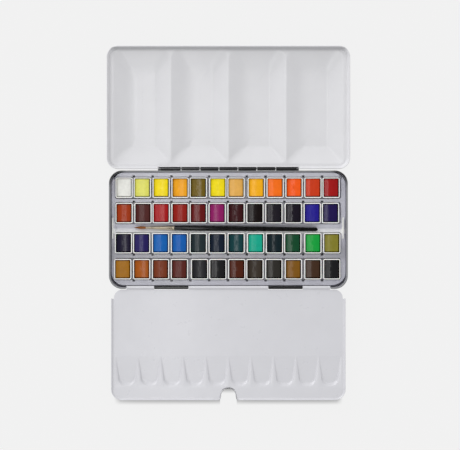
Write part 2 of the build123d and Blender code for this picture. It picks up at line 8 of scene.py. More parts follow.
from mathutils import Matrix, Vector


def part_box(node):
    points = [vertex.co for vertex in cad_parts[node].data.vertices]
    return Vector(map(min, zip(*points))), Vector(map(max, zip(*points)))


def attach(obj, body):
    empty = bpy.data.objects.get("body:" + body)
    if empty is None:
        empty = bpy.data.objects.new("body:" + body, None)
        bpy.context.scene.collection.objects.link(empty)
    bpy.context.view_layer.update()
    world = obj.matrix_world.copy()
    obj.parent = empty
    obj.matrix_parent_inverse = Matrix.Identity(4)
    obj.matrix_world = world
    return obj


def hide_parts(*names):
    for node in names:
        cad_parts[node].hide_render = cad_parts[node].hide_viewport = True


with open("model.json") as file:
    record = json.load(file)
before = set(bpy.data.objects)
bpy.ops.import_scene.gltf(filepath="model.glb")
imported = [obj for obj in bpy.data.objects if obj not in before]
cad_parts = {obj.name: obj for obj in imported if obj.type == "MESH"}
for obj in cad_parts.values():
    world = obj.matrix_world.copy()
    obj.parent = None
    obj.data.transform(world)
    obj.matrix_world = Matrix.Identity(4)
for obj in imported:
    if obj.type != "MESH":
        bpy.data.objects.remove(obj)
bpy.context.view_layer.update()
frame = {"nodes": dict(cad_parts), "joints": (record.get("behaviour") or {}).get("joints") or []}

bl_info = {
    "name": "Watercolour Paint Box",
    "version": (1, 0, 0),
    "blender": (4, 5, 0),
    "location": "View3D > Sidebar > Paint Box",
    "description": "Dresses an open watercolour box: tray, lid, mixing flap, rack, half pans and brush",
    "category": "Object",
}

MM = 0.001
ORIGIN_EPSILON = 1e-7

# Meshes: distances within which points are merged, and angles in degrees past which smooth shading stops
FUSE = 1e-6
FUSE_CAKE = 2e-6
FUSE_HAIR = 1e-8
SHARP_SHEET = 38
SHARP_MOULDED = 50
SHARP_ROUND = 60
NORMAL_WEIGHT = 80
# A sheet's second material covers its back and its edges
BACK_SLOT = 1

# Daylight: the world's strength on surfaces and in their gloss, and a wide sun from the upper left
WORLD_LIGHT = 0.8
WORLD_SHEEN = 0.12
SUN_LIGHT = 1.38
SUN_SPREAD = 50
SUN_DIRECTION = (-0.574, 0.741, 0.349)
# Softboxes seen in the gloss alone, hung flat: place, size along X and Y, and power
SOFTBOXES = (
    ((-0.17, 0, 2.2), (0.14, 2.2), 4.2),
    ((-0.46, 0, 2.2), (0.1, 2.2), 2.4),
    ((0, 1.25, 2.2), (2.2, 0.06), 1.6),
)
# Table: half its side, how far it lies under the foot, its glow where it is seen, its tone under light
# and the tone with which it lights the part
TABLE_HALF = 3.0
TABLE_DROP = 0.05 * MM
TABLE_GLOW = 1.01
TABLE_ALBEDO = 0.54
TABLE_BOUNCE = 0.8
# How much of the table's shade is seen, away from the flap and right before it: rendered shade, deepened
# into painted shade by its darker tone
TABLE_SHADE = 0.04
FRONT_SHADE = 1.0
SHADE_REACH = 7.0 * MM
SHADE_FULL = 1.0 * MM
# The flap lies over the table where little of the sky is open within this distance: the shade is full
# below the first open share and gone above the second
SHADE_DISTANCE = 40.0 * MM
SHADE_COVER = 0.8
SHADE_OPEN = 0.98
CAMERA_LENS = 83.4
CAMERA_PLACE = (1.5 * MM, -2.0 * MM, 1.0)

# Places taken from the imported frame
JOINT_PLACES = {j["name"]: j.get("pos_m") for j in frame["joints"]}
LID_AXIS_Y, LID_AXIS_Z = JOINT_PLACES["lid_hinge"][1:]
FLAP_AXIS_Y, FLAP_AXIS_Z = JOINT_PLACES["flap_hinge"][1:]
RING_AXIS_Y, RING_AXIS_Z = JOINT_PLACES["ring_hinge"][1:]
LID_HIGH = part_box("lid")[1]
FLAP_LOW, FLAP_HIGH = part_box("mixing_flap")
TRAY_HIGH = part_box("base_tray")[1]
RACK_LOW, RACK_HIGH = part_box("pan_rack")

# Outlines; the tray's front and back walls stand clear of the two hinge axes.
TRAY_FRONT = FLAP_AXIS_Y - 1.1 * MM
TRAY_BACK = LID_AXIS_Y - 1.9 * MM
TRAY_HALF = TRAY_HIGH[0]
TRAY_RIM_Z = 15.0 * MM
LID_NEAR = LID_AXIS_Y - 0.3 * MM
LID_RIM_Z = LID_AXIS_Z + 0.25 * MM

# Tray: its section as steps outwards from its edge and heights, in millimetres
TRAY_SECTION = (
    (-9.0, 2.9), (-4.6, 2.9), (-4.1, 2.82), (-3.75, 2.55), (-3.6, 2.1), (-3.5, 1.2), (-3.3, 0.72),
    (-2.9, 0.52), (-2.3, 0.5), (-1.85, 0.7), (-1.6, 1.1), (-1.5, 1.8), (-1.1, 7.0), (-0.78, 11.0),
    (-0.74, 11.6), (-0.6, 13.2),
)
# Points along its sides and ends and in its corners, and the shares at which its panel closes
TRAY_ALONG = np.linspace(0, 1, 181)
TRAY_UP = np.linspace(0, 1, 81)
TRAY_ARC = 14
PANEL_STEPS = (1.0, 0.75, 0.5, 0.25)
# Its rolled rim: sheet, points round the curl, and the curl's end as steps inwards and down, in millimetres
RIM_SHEET = 0.3 * MM
RIM_POINTS = 11
RIM_END = ((0.0, 0.5), (0.02, 0.95))
# The rim's painted grey sheen fades to its black between these places, towards the back and towards the
# sides
RIM_SHEEN_END_BACK = (TRAY_BACK - 16 * MM, TRAY_BACK - 6 * MM)
RIM_SHEEN_END_SIDE = (TRAY_HALF - 16 * MM, TRAY_HALF - 9 * MM)
# The cut in the front rim for the flap's barrel: its floor, its margin at both ends and its reach
SEAT_FLOOR = 11.6 * MM
SEAT_MARGIN = 0.4 * MM
SEAT_REACH = 3.0 * MM

# Hinges
KNUCKLE_LENGTHS = [length * MM for length in (21.0, 16.5, 16.5, 16.5, 16.5, 16.5, 21.0)]
KNUCKLE_GAP = 1.0 * MM
KNUCKLE_RADIUS = 1.6 * MM
KNUCKLE_CLEARANCE = 0.3 * MM
# How far the outer end of the two outermost knuckles slants inwards
OUTER_SLANT = 4.0 * MM
BARREL_RADIUS = 1.5 * MM
BARREL_HALF = 94.25 * MM
FLAP_KNUCKLES = [((side * 52.8 - 15.65) * MM, (side * 52.8 + 15.65) * MM) for side in (-1, 1)]
# Sheet rolled round a pin: start and end in degrees, and number of points
TRAY_ROLL = (-92, 215, 24)
LID_ROLL = (15, 270, 22)
SEAT_ROLL = (205, -95, 24)
BARREL_ROLL = (145, -150, 26)
# The leaves that lead to the rolls, in millimetres: from the tray's back wall and below the roll, from
# the lid's edge and below the axis, from the tray's front and above the table, from the flap's edge
TRAY_LEAF = (0.2, 0.05)
LID_LEAF = ((1.5, 3.4), (1.3, 2.0), (1.45, 0.6))
SEAT_LEAF = ((0.25, 9.4), (0.22, 11.2), (0.0, 12.2))
BARREL_LEAF = ((-0.35, 0.0), (0.1, 0.02), (0.45, 0.2))

# Lid
LID_SHEET = 0.45 * MM
LID_SKIRT = 2.2 * MM
LID_CURL = 0.55 * MM
LID_CURL_POINTS = 13
# The curl's end: steps inwards and down from its middle, in millimetres
LID_CURL_END = ((0.0, 0.4), (0.08, 0.65))
# The cut in the near rim for the hinge: half its length, its reach from the edge and its depth
LID_SEAT = 65.5 * MM
LID_SEAT_REACH = 2.5 * MM
LID_SEAT_DEPTH = 2.2 * MM
LID_ALONG = np.linspace(0, 1, 25)
LID_UP = np.linspace(0, 1, 49)
LID_ARC = 10
# The skirt's section from the plateau up: share of its run outwards and height in millimetres
SKIRT_SECTION = (
    (0, 0), (0.12, 0.04), (0.22, 0.16), (0.32, 0.42), (0.4, 0.8), (0.55, 1.6), (0.75, 2.6), (0.9, 3.2),
    (0.97, 3.45),
)
WELL_COUNT = 4
WELL_RIDGE = 1.0 * MM
WELL_SIDE_BAND = 6.2 * MM
WELL_NEAR_BAND = 5.4 * MM
WELL_FAR_BAND = 3.0 * MM
WELL_SIDE_SLOPE = 14.0 * MM
WELL_NEAR_SLOPE = 16.0 * MM
WELL_FAR_SLOPE = 18.0 * MM
WELL_MOUTH_CORNERS = (4.5 * MM, 4.5 * MM, 9.0 * MM, 9.0 * MM)
WELL_FLOOR_CORNERS = (3.0 * MM, 1.2 * MM, 5.0 * MM, 4.0 * MM)
# A floor ring's corners stay below this share of its half width
FLOOR_CORNER_SHARE = 0.7
# Softness of the bend at the mouth, and at the floor towards the light and away from it
MOUTH_SOFTNESS = 0.02
FLOOR_CRISP = 0.022
FLOOR_SOFT = 0.16
# Shares of the way from the mouth to the floor, then on over the floor and to its middle line
WELL_STEPS = (
    -0.03, -0.015, 0, 0.015, 0.035, 0.06, 0.1, 0.16, 0.25, 0.4, 0.55, 0.7, 0.8, 0.87, 0.92, 0.96, 1.0,
)
FLOOR_STEPS = (0.04, 0.09, 0.15, 0.22, 0.3, 0.4, 0.52)
CLOSING_STEPS = (0.5, 1.0)
# Places of the painted shade in the fold of the back skirt, from the far edge: rise, full, fade and end
PAINTED_FOLD_SHADE = (-5.0 * MM, -2.4 * MM, -1.4 * MM, -0.7 * MM)
PAINTED_FOLD_SHADE_TONE = 0.68

# Mixing flap: its gap to the tray, and how far from there its edge begins to rise
FLAP_EDGE_GAP = 1.0 * MM
FLAP_FLANGE_START = 8.3 * MM
FLAP_CORNER = 10.0 * MM
FLAP_NEAR_CORNER = 7.5 * MM
# The raised lip: radius of its hollow, the slope that it rises to in degrees and radius of its crest
LIP_HOLLOW = 2.5 * MM
LIP_RISE = 53
LIP_CREST = 0.3 * MM
LIP_POINTS = 9
# Its scale along the front and sides, in the corners and round the notch, and points for a soft change
LIP_SCALE = 1.0
LIP_CORNER_SCALE = 0.75
LIP_NOTCH_SCALE = 0.3
LIP_NOTCH_END = 2.0 * MM
LIP_SOFTENING = 9
# From the lip the edge turns down: the height of its first ring under the plate
FLANGE_BEND = 1.5 * MM
# Finger notch: its half circle, depth, slant of its sides, round of its mouth and half its reach in X
NOTCH_RADIUS = 7.0 * MM
NOTCH_DEPTH = 11.0 * MM
NOTCH_FLARE = 0.6 * MM
NOTCH_MOUTH = 1.2 * MM
NOTCH_START = 13.0 * MM
NOTCH_MOUTH_POINTS = 9
NOTCH_POINTS = 25
# The band of cells that holds the small wells reaches past them by this much
CELL_FRONT = 1.6 * MM
CELL_BACK = 1.5 * MM
# The small wells or cups, each a U: its nose is to the front, and it widens towards its heel
CUP_COUNT = 10
CUP_PITCH = 20.9 * MM
CUP_FRONT_BAND = 12.8 * MM
CUP_LENGTH = 28.0 * MM
CUP_NOSE = 6.2 * MM
CUP_NOSE_SPREAD = 2.2
CUP_HALF = 7.5 * MM
CUP_HEEL = 0.6 * MM
CUP_WIDENING = 0.36
# Width of a cup's wall, its softness, its extra depth, how softly it meets the floor, and the length
# over which the floor is level
CUP_WALL = 1.5 * MM
CUP_SOFTNESS = 0.12
CUP_EXTRA = 0.3 * MM
CUP_BLEND = 0.12 * MM
CUP_FLAT = 4.0 * MM
# Rings of a cup as insets from its edge; the back moves in by a share of each
CUP_BACK_SHARE = 0.5
CUP_INSETS = [w * MM for w in (0, 0.15, 0.35, 0.6, 0.85, 1.1, 1.35, 1.7, 2.3, 3.4, 4.8, 6.2, 7.2, 7.5)]
FLAP_ALONG = np.linspace(0, 1, 37)
FLAP_UP = np.linspace(0, 1, 41)
FLAP_ARC = 16
FLAP_FRONT_STEPS = np.linspace(0, 1, 5)
FLAP_BACK_STEPS = np.linspace(0, 1, 20)
FLAP_SIDE_POINTS = 24
FLAP_MARGIN_POINTS = 4

# Rack
PANS_IN_ROW = 12
PAN_PITCH = 17.5 * MM
# The side of each row on which its tongues stand: the back for the first two, the front for the others
ROW_SIDES = (1, 1, -1, -1)
POCKET_LONG = 105.15 * MM
POCKET_WIDE = 10.2 * MM
POCKET_LIP = 0.4 * MM
POCKET_CORNER = 2.0 * MM
POCKET_CORNER_LEAST = 0.2 * MM
POCKET_EDGE = 0.37 * MM
POCKET_FLOOR_STEPS = (0.3, 0.65, 1.0)
RACK_CORNER = 11.0 * MM
RACK_UP = np.linspace(0, 1, 17)
RACK_ARC = 8
# Columns of points by the rack's two ends, as steps inwards from the pockets' ends in millimetres
END_COLUMNS = (-0.2, 0.4, 1.0, 1.6, 2.1)
# Painted shade on the ledge by the third row and painted light on the gutter's lower half: rise, full, fade
# and end along Y
PAINTED_SHADE_ROW = (-40.0 * MM, -32.0 * MM, -24.0 * MM, -16.0 * MM)
PAINTED_SHADE_ROW_TONE = 0.72
PAINTED_LIGHT_GUTTER = (-10.2 * MM, -9.8 * MM, -6.6 * MM, -4.6 * MM)
PAINTED_LIGHT_GUTTER_TONE = 1.5
# Painted light on the back edge: where it begins and where it is full
PAINTED_LIGHT_BACK = (36.0 * MM, 44.0 * MM)
PAINTED_LIGHT_BACK_TONE = 1.4
# Slots for the tongues: half width, depth, start inside the pocket's edge and lowest height
SLOT_HALF = 1.1 * MM
SLOT_DEPTH = 1.4 * MM
SLOT_START = 0.1 * MM
SLOT_FLOOR = 7.5 * MM
GUTTER_END = 2.4 * MM
GUTTER_POINTS = 17
# How far the ledge runs out past the rack's solid towards the tray's wall
LEDGE_LEFT = 0.85 * MM
LEDGE_RIGHT = 1.9 * MM
LEDGE_FRONT = 0.25 * MM
# The ledge's section: share of that reach and drop in millimetres
LEDGE_SECTION = ((0, 0), (0.6, 0), (0.85, 0.05), (0.97, 0.18), (1.0, 0.4), (1.0, 1.2))
# How far an outline has to face left to be open for the tab, and the gap beside the tab
FACES_LEFT = 0.9
TAB_GAP = 0.4 * MM
# Wall of a pocket: steps inwards from its edge and heights, in millimetres
POCKET_SECTION = (
    (-0.36, 8.6), (-0.2, 8.57), (-0.07, 8.46), (0, 8.25), (0.02, 7.6), (0.06, 4.3), (0.12, 3.8),
    (0.3, 3.45), (0.6, 3.32), (1.0, 3.3),
)
TONGUE_HALF = 2.2 * MM
TONGUE_HEIGHT = 4.0 * MM
TONGUE_PLACE = 6.7 * MM
TONGUE_ARC = np.linspace(-1, 1, 9)
TAB_HALF = 10.0 * MM
# How far the tabs' feet stand out past the rack's solid, at its left and its right end
TAB_OUT = (0.4 * MM, 0.2 * MM)
# Places across a tab as shares of its half width, and the rounding of its two upper corners in millimetres
TAB_ACROSS = np.concatenate([[-1, -0.985, -0.95], np.linspace(-0.9, 0.9, 15), [0.95, 0.985, 1]])
TAB_ROUND_START = 0.95
TAB_ROUND_WIDTH = 0.05
TAB_ROUND_DROP = 1.2
TAB_TOP = 12.2
# Tab: steps inwards from its foot and heights, in millimetres
TAB_SECTION = (
    (1.4, 8.58), (0.6, 8.62), (0.2, 8.8), (0.08, 9.3), (0.05, 10.5), (0.08, 11.5), (0.2, 11.95),
    (0.45, 12.16), (0.75, 12.2), (1.2, 12.2),
)

# Half pans, in millimetres: the cup's section as insets and heights
PAN_SECTION = (
    (1.0, 3.3), (0.92, 4.0), (0.3, 10.2), (0.02, 12.25), (0.04, 12.5), (0.12, 12.64), (0.22, 12.7),
    (0.72, 12.7), (0.82, 12.66), (0.89, 12.5), (0.93, 12.1), (1.2, 8.5), (1.6, 4.6),
)
# From this point of the section on, the inside is stained by its paint and dark with painted shade
PAN_STAIN_AND_SHADE = 9
# A cup's corner radius at its outer edge and its least radius further in
PAN_CORNER = 1.7
PAN_CORNER_LEAST = 0.35
PAN_ALONG = np.linspace(0, 1, 13)
PAN_UP = np.linspace(0, 1, 11)
PAN_ARC = 5
PAN_SEED = 48
# Cake: its inset from the cup's outside, its level, its foot, and the insets of its rings from its edge
CAKE_INSET = 0.97
CAKE_LEVEL = 12.15
CAKE_BASE = 4.7
CAKE_BASE_INSET = 0.5
CAKE_BASE_CORNER = 0.5
CAKE_SIDE_INSET = 0.1
CAKE_SIDE_DROP = 1.6
CAKE_CORNER = 0.8
CAKE_CORNER_LEAST = 0.25
CAKE_STEPS = (0, 0.1, 0.25, 0.5, 0.9, 1.5, 2.2, 3.0, 3.9, 4.8, 5.6)
# Ranges of what is drawn for each cake: drift to the left and up, shrinkage, level, dome and its ridge
CAKE_DRIFT_X = (-0.3, -0.12)
CAKE_DRIFT_Y = (0.08, 0.26)
CAKE_SHRINKAGE = (0.1, 0.24)
CAKE_LEVELS = (-0.15, 0.15)
CAKE_DOME = (0.5, 0.9)
CAKE_RIDGE = (-0.15, 0.35)
# Ripples: their range and height, then their waves across and along the cake
CAKE_RIPPLE = (0.6, 1.3)
CAKE_RIPPLE_HEIGHT = 0.03
CAKE_WAVES = (5, 9, 2.5)
CAKE_SMALL_WAVE = 0.7
# How far the cake falls away at its two ends and at its edge, and how wide that edge is
CAKE_END_FALL = 0.18
CAKE_EDGE_FALL = 0.35
CAKE_EDGE_WIDTH = 0.2
# Paint pools, with painted shade, this near to the wall, and everywhere below this depth
CAKE_WALL = 1.6 * MM
CAKE_BELOW = 1.5

# Brush: the tuft's radius at shares of its length, and its core, which fills it under the single hairs
HAIR_SHARES = np.array([0, 0.15, 0.3, 0.45, 0.6, 0.75, 0.88, 1.0])
HAIR_RADII = np.array([0.95, 1.12, 1.24, 1.22, 1.02, 0.66, 0.3, 0.04]) * MM
HAIR_ROOT = 0.4 * MM
CORE_RADIUS = 0.86
CORE_LENGTH = 0.96
CORE_TIP = 0.02
CORE_POINTS = 16
# Single hairs: number, seed, points, thickness, how much they taper, and ranges of what is drawn
HAIR_COUNT = 150
HAIR_SEED = 7
HAIR_STEPS = np.linspace(0, 1, 9)
HAIR_SIDES = 4
HAIR_THICK = 0.075 * MM
HAIR_TAPER = 0.85
HAIR_SPREAD = (0.3, 1.0)
HAIR_REACH = (0.86, 1.0)
HAIR_TWIST = (-0.25, 0.25)
# Ferrule: places along it as shares, its radii in millimetres, and its two crimps
FERRULE_SHARES = np.concatenate([
    [0, 0, 0.004, 0.012], np.linspace(0.03, 0.8, 12),
    [0.83, 0.838, 0.85, 0.862, 0.87, 0.885, 0.893, 0.905, 0.917, 0.925, 0.97, 0.99, 1.0, 1.0],
])
FERRULE_THIN = 0.95
FERRULE_WIDE = 1.9
FERRULE_LIP = 0.9 * MM
CRIMPS = (0.85, 0.905)
CRIMP_DEPTH = 0.16
CRIMP_WIDTH = 0.007
# Handle: its radius in millimetres at shares of its length, and its round end
HANDLE_SHARES = (0, 0.04, 0.12, 0.25, 0.45, 0.7, 0.9, 1.0)
HANDLE_RADII = (1.9, 2.02, 2.17, 2.25, 2.2, 2.02, 1.85, 1.75)
HANDLE_POINTS = 44
HANDLE_SOFTENING = 5
HANDLE_NOSE = 1.75 * MM
HANDLE_NOSE_POINTS = 9
TURNED_POINTS = 40

# Thumb ring: radius of its wire, half the length of its straight bar, and points round and along it
RING_WIRE = 0.7 * MM
RING_BAR = 5.0 * MM
RING_POINTS = 73
RING_BAR_POINTS = 12
RING_SIDES = 12

# Most values of a noise texture lie between these two
NOISE_LOW = 0.3
NOISE_HIGH = 0.7
# Lacquer: roughness, coat, mottling as shares of its colour and uneven gloss as shares of its roughness
LACQUER_ROUGHNESS = 0.3
LACQUER_COAT = 0.25
LACQUER_COAT_ROUGHNESS = 0.12
MOTTLING = (0.985, 1.01)
GLOSS = (0.9, 1.15)
# Drawn lines run along X on polished metal and on the tuft
METAL_STRETCH = (0.05, 1, 1)
HAIR_STRETCH = (0.04, 1, 1)
# Paint: its depth of tone, with clouds in it
PAINT_DEPTH = 1.05
PAINT_HAZE = 0.006
PAINT_FLOOR = 0.0015
PAINT_CLOUDS = (0.93, 1.04)
# Pooled paint with painted shade: the range of nearness over which it deepens, how far, and its tone for
# dark and pale paints
POOL_SHADE_RANGE = (0.45, 0.85)
POOL_SHADE_SHARE = 0.95
POOL_SHADE_TONE = 0.3
POOL_SHADE_TONE_PALE = 0.5
# Skin of gum on the paint: strength and roughness of its coat, each as a start and a slope over the gloss
SKIN_COAT = (0.35, 0.8)
SKIN_ROUGHNESS = (0.24, -0.1)
PAINT_STREAKS = (1, 0.06, 1)
DULL_PAINT = 0.2

# Pigments, in rows from left to right: name, colour and gloss from 0 to 1
PIGMENTS = (
    ("white", (232, 232, 226), 0.15),
    ("lemon_yellow", (226, 224, 104), 0.45),
    ("primary_yellow", (248, 222, 8), 0.45),
    ("amber_yellow", (244, 168, 34), 0.35),
    ("olive_gold", (112, 92, 22), 0.75),
    ("bright_yellow", (244, 222, 4), 0.3),
    ("naples_yellow", (230, 176, 88), 0.25),
    ("golden_yellow", (250, 178, 10), 0.4),
    ("light_orange", (250, 112, 18), 0.35),
    ("deep_orange", (248, 92, 14), 0.35),
    ("brick_red", (204, 60, 24), 0.4),
    ("deep_red", (162, 20, 18), 0.6),
    ("burnt_orange", (164, 58, 20), 0.5),
    ("maroon_brown", (84, 40, 38), 0.35),
    ("scarlet_red", (168, 22, 26), 0.6),
    ("brownish_red", (150, 32, 24), 0.3),
    ("oxide_red", (104, 20, 16), 0.75),
    ("magenta", (142, 26, 98), 0.6),
    ("deep_maroon", (62, 18, 24), 0.55),
    ("brown_black", (30, 22, 22), 0.55),
    ("violet_black", (32, 28, 38), 0.75),
    ("deep_violet", (28, 22, 36), 0.85),
    ("ultramarine", (38, 30, 142), 0.1),
    ("indigo_violet", (34, 22, 80), 0.6),
    ("night_violet", (32, 28, 52), 0.7),
    ("blue_violet", (42, 34, 96), 0.6),
    ("azure_blue", (4, 98, 178), 0.4),
    ("cobalt_blue", (8, 94, 176), 0.35),
    ("slate_green", (38, 50, 54), 0.6),
    ("blue_black", (22, 34, 52), 0.7),
    ("dark_teal", (6, 64, 68), 0.65),
    ("turquoise", (12, 166, 138), 0.35),
    ("teal_black", (14, 38, 44), 0.65),
    ("forest_green", (14, 76, 46), 0.55),
    ("bright_green", (18, 160, 62), 0.35),
    ("olive_green", (132, 126, 44), 0.35),
    ("yellow_ochre", (162, 108, 24), 0.15),
    ("raw_sienna", (166, 86, 22), 0.55),
    ("burnt_sienna", (122, 58, 34), 0.3),
    ("reddish_brown", (92, 38, 32), 0.4),
    ("charcoal_grey", (38, 38, 42), 0.6),
    ("neutral_black", (34, 34, 36), 0.75),
    ("mahogany_brown", (82, 36, 20), 0.9),
    ("umber_grey", (60, 52, 44), 0.4),
    ("dark_grey", (52, 50, 46), 0.5),
    ("ochre_brown", (128, 86, 22), 0.4),
    ("raw_umber", (70, 48, 34), 0.45),
    ("ivory_black", (32, 32, 34), 0.6),
)


# Colour

def linear(rgb):
    """Display colour of three numbers up to 255 as linear light."""
    c = np.array(rgb, float) / 255
    return tuple(np.where(c <= 0.04045, c / 12.92, ((c + 0.055) / 1.055) ** 2.4))


# Settings that a user would change

def length_setting(name, description, default):
    """A length that the user can change."""
    return bpy.props.FloatProperty(
        name=name, description=description, default=default, min=0.0, unit="LENGTH", subtype="DISTANCE",
        precision=5,
    )


def colour_setting(name, description, default):
    """A colour that the user can change."""
    return bpy.props.FloatVectorProperty(
        name=name, description=description, default=default, size=3, min=0.0, max=1.0, subtype="COLOR",
    )


class PaintBoxSizes(bpy.types.PropertyGroup):
    """Sizes of the pressed sheet and its forms."""

    sheet: length_setting("Sheet", "Thickness of the tinplate", 0.5 * MM)
    rack_sheet: length_setting("Rack sheet", "Thickness of the rack's sheet", 0.4 * MM)
    rim: length_setting("Tray rim", "Width of the tray's rolled rim", 1.2 * MM)
    tray_corner: length_setting("Tray corner", "Radius of the tray's corners", 12.0 * MM)
    lid_corner: length_setting("Lid corner", "Radius of the lid's corners", 10.5 * MM)
    plateau: length_setting("Plateau depth", "Depth of the lid's flat ground below its rim", 4.2 * MM)
    well: length_setting("Well depth", "Depth of the lid's wells below the plateau", 5.85 * MM)
    cup: length_setting("Cup depth", "Depth of the flap's small wells", 1.6 * MM)
    flange: length_setting("Flange", "Depth of the flap's turned-down edge", 3.4 * MM)
    ledge: length_setting("Ledge height", "Height of the rack's ledge over the table", 8.6 * MM)
    gutter: length_setting("Gutter depth", "Depth of the brush gutter", 3.4 * MM)


class PaintBoxFinishes(bpy.types.PropertyGroup):
    """Colours of the lacquers, plastic, metal, wood and hair."""

    white: colour_setting("Lid white", "Inside of the lid", linear((225, 225, 228)))
    # A greyer copy of the lid's white lacquer, which paints the shade on the flap's top
    flap_white: colour_setting("Flap white", "Top of the mixing flap", linear((215, 215, 220)))
    # A greyer, bluer copy of the lid's white lacquer, which paints the shade inside the tray and on the rack
    tray_white: colour_setting("Tray white", "Inside of the tray and rack", linear((212, 212, 222)))
    # The rim colour is a painted sheen on the black lacquer
    rim: colour_setting("Rim", "Rolled rim of the tray, where light catches it", linear((134, 135, 138)))
    black: colour_setting("Black lacquer", "Outside of the box", linear((22, 22, 24)))
    plastic: colour_setting("Pan plastic", "Half pans", linear((250, 250, 247)))
    ferrule: colour_setting("Ferrule", "Pale metal ferrule", linear((214, 200, 176)))
    handle: colour_setting("Handle", "Brush handle lacquer", linear((10, 10, 10)))
    hair: colour_setting("Hair", "Brush hair", linear((170, 104, 44)))
    steel: colour_setting("Pin steel", "Hinge pins", linear((176, 176, 180)))
    floor: colour_setting("Floor", "Table and background", linear((242, 242, 242)))


# Shapes as arrays of points

def soft_ramp(t, start, end):
    """Ramp from 0 at t = 0 to 1 at t = 1 whose two bends are rounded over about start and end:
    start times log(1 + e^(t / start)), less the same curve for the second bend."""
    return start * np.logaddexp(0, t / start) - end * np.logaddexp(0, (t - 1) / end)


def run(a, b, at):
    """Points on the straight run from a to b at the given shares."""
    a, b = np.array(a, float), np.array(b, float)
    return a + (b - a) * at[:, None]


def rounded_loop(x0, x1, y0, y1, radii, along, up, arc):
    """Closed loop round a rectangle, anticlockwise from the lower left.
    Each side is a straight run at the given shares, and each corner a quarter circle:
    its centre plus its radius times (cos, sin). Radii go lower left, lower right, upper right, upper left.
    Along may also be a function that gives the shares of a run from its two ends."""
    bl, br, tr, tl = radii
    turn = np.linspace(0, pi / 2, arc + 1)[1:-1]

    def corner(cx, cy, radius, start):
        angle = start + turn
        return np.stack([cx + radius * np.cos(angle), cy + radius * np.sin(angle)], 1)

    def side(start, end):
        return run(start, end, along(start[0], end[0]) if callable(along) else along)

    return np.concatenate([
        side((x0 + bl, y0), (x1 - br, y0)),
        corner(x1 - br, y0 + br, br, -pi / 2),
        run((x1, y0 + br), (x1, y1 - tr), up),
        corner(x1 - tr, y1 - tr, tr, 0),
        side((x1 - tr, y1), (x0 + tl, y1)),
        corner(x0 + tl, y1 - tl, tl, pi / 2),
        run((x0, y1 - tl), (x0, y0 + bl), up),
        corner(x0 + bl, y0 + bl, bl, pi),
    ])


def spine_of(loop):
    """Each point of a loop moved to the middle line of the loop's box, where a stack of rings can close."""
    low, high = loop.min(0), loop.max(0)
    centre, half = (low + high) / 2, (high - low) / 2
    reach = half - half.min()
    return np.clip(loop, centre - reach, centre + reach)


def lifted(loop, z):
    """A flat loop of points at one height or at a height for each point."""
    return np.column_stack([loop, np.broadcast_to(z, len(loop))])


def closing(ring, steps):
    """Rings that close a hole: a ring moved by shares of the way to the middle line of its box."""
    flat, height = ring[:, :2], ring[:, 2]
    return [lifted(flat + (spine_of(flat) - flat) * t, height) for t in steps]


def without_doubles(loop):
    """Closed loop without points that repeat the one before."""
    return loop[np.linalg.norm(loop - np.roll(loop, 1, 0), axis=1) > ORIGIN_EPSILON]


def soften(values, width):
    """Running mean over a number of neighbours, with the ends held."""
    reach = width // 2
    padded = np.concatenate([values[:1].repeat(reach), values, values[-1:].repeat(reach)])
    return np.convolve(padded, np.ones(width) / width, "valid")


def outward(loop, low, high, radius):
    """Outward directions of a rounded rectangle: from the nearest point of the box shrunk by its radius."""
    core = np.clip(loop, np.array(low) + radius, np.array(high) - radius)
    away = loop - core
    return away / np.maximum(np.linalg.norm(away, axis=1, keepdims=True), ORIGIN_EPSILON)


def quads(rows, columns, closed):
    """Faces of a grid of points stored row by row, closed round its columns or open."""
    i, j = np.meshgrid(np.arange(rows - 1), np.arange(columns if closed else columns - 1), indexing="ij")
    k = (j + 1) % columns
    a, b = i * columns + j, i * columns + k
    c, d = (i + 1) * columns + k, (i + 1) * columns + j
    return np.stack([a, b, c, d], -1).reshape(-1, 4)


class Shell:
    """Gathers grids of points into one mesh."""

    def __init__(self):
        self.points, self.faces, self.slots, self.size = [], [], [], 0

    def grid(self, grid, closed, slot=0, keep=None):
        """Adds rows of points; keep(middle points) says which faces stay."""
        grid = np.asarray(grid, float)
        rows, columns = grid.shape[:2]
        flat = grid.reshape(-1, 3)
        faces = quads(rows, columns, closed)
        if keep is not None:
            faces = faces[keep(flat[faces].mean(1))]
        self.points.append(flat)
        self.faces.append(faces + self.size)
        self.slots.append(np.full(len(faces), slot))
        self.size += len(flat)

    def piece(self, name, materials, up=False, fuse=FUSE):
        """Makes the object: doubles merged, normals pointing outwards or, for an open sheet, upwards."""
        points, faces = np.concatenate(self.points), np.concatenate(self.faces)
        slots = np.concatenate(self.slots)
        mesh = bpy.data.meshes.new(name)
        mesh.from_pydata(points.tolist(), [], faces.tolist())
        mesh.polygons.foreach_set("material_index", slots.astype(np.int32))
        tidy = bmesh.new()
        tidy.from_mesh(mesh)
        bmesh.ops.remove_doubles(tidy, verts=tidy.verts, dist=fuse)
        bmesh.ops.dissolve_degenerate(tidy, edges=tidy.edges, dist=fuse)
        bmesh.ops.recalc_face_normals(tidy, faces=tidy.faces)
        if up and sum(f.normal.z * f.calc_area() for f in tidy.faces) < 0:
            bmesh.ops.reverse_faces(tidy, faces=tidy.faces)
        tidy.to_mesh(mesh)
        tidy.free()
        for material in materials:
            mesh.materials.append(material)
        piece = bpy.data.objects.new(name, mesh)
        bpy.context.scene.collection.objects.link(piece)
        mesh.shade_smooth()
        return piece


def applied(piece):
    """Makes the piece's modifiers final."""
    bpy.context.view_layer.update()
    graph = bpy.context.evaluated_depsgraph_get()
    mesh = bpy.data.meshes.new_from_object(piece.evaluated_get(graph))
    old = piece.data
    piece.modifiers.clear()
    piece.data = mesh
    mesh.name = piece.name
    bpy.data.meshes.remove(old)
    return piece


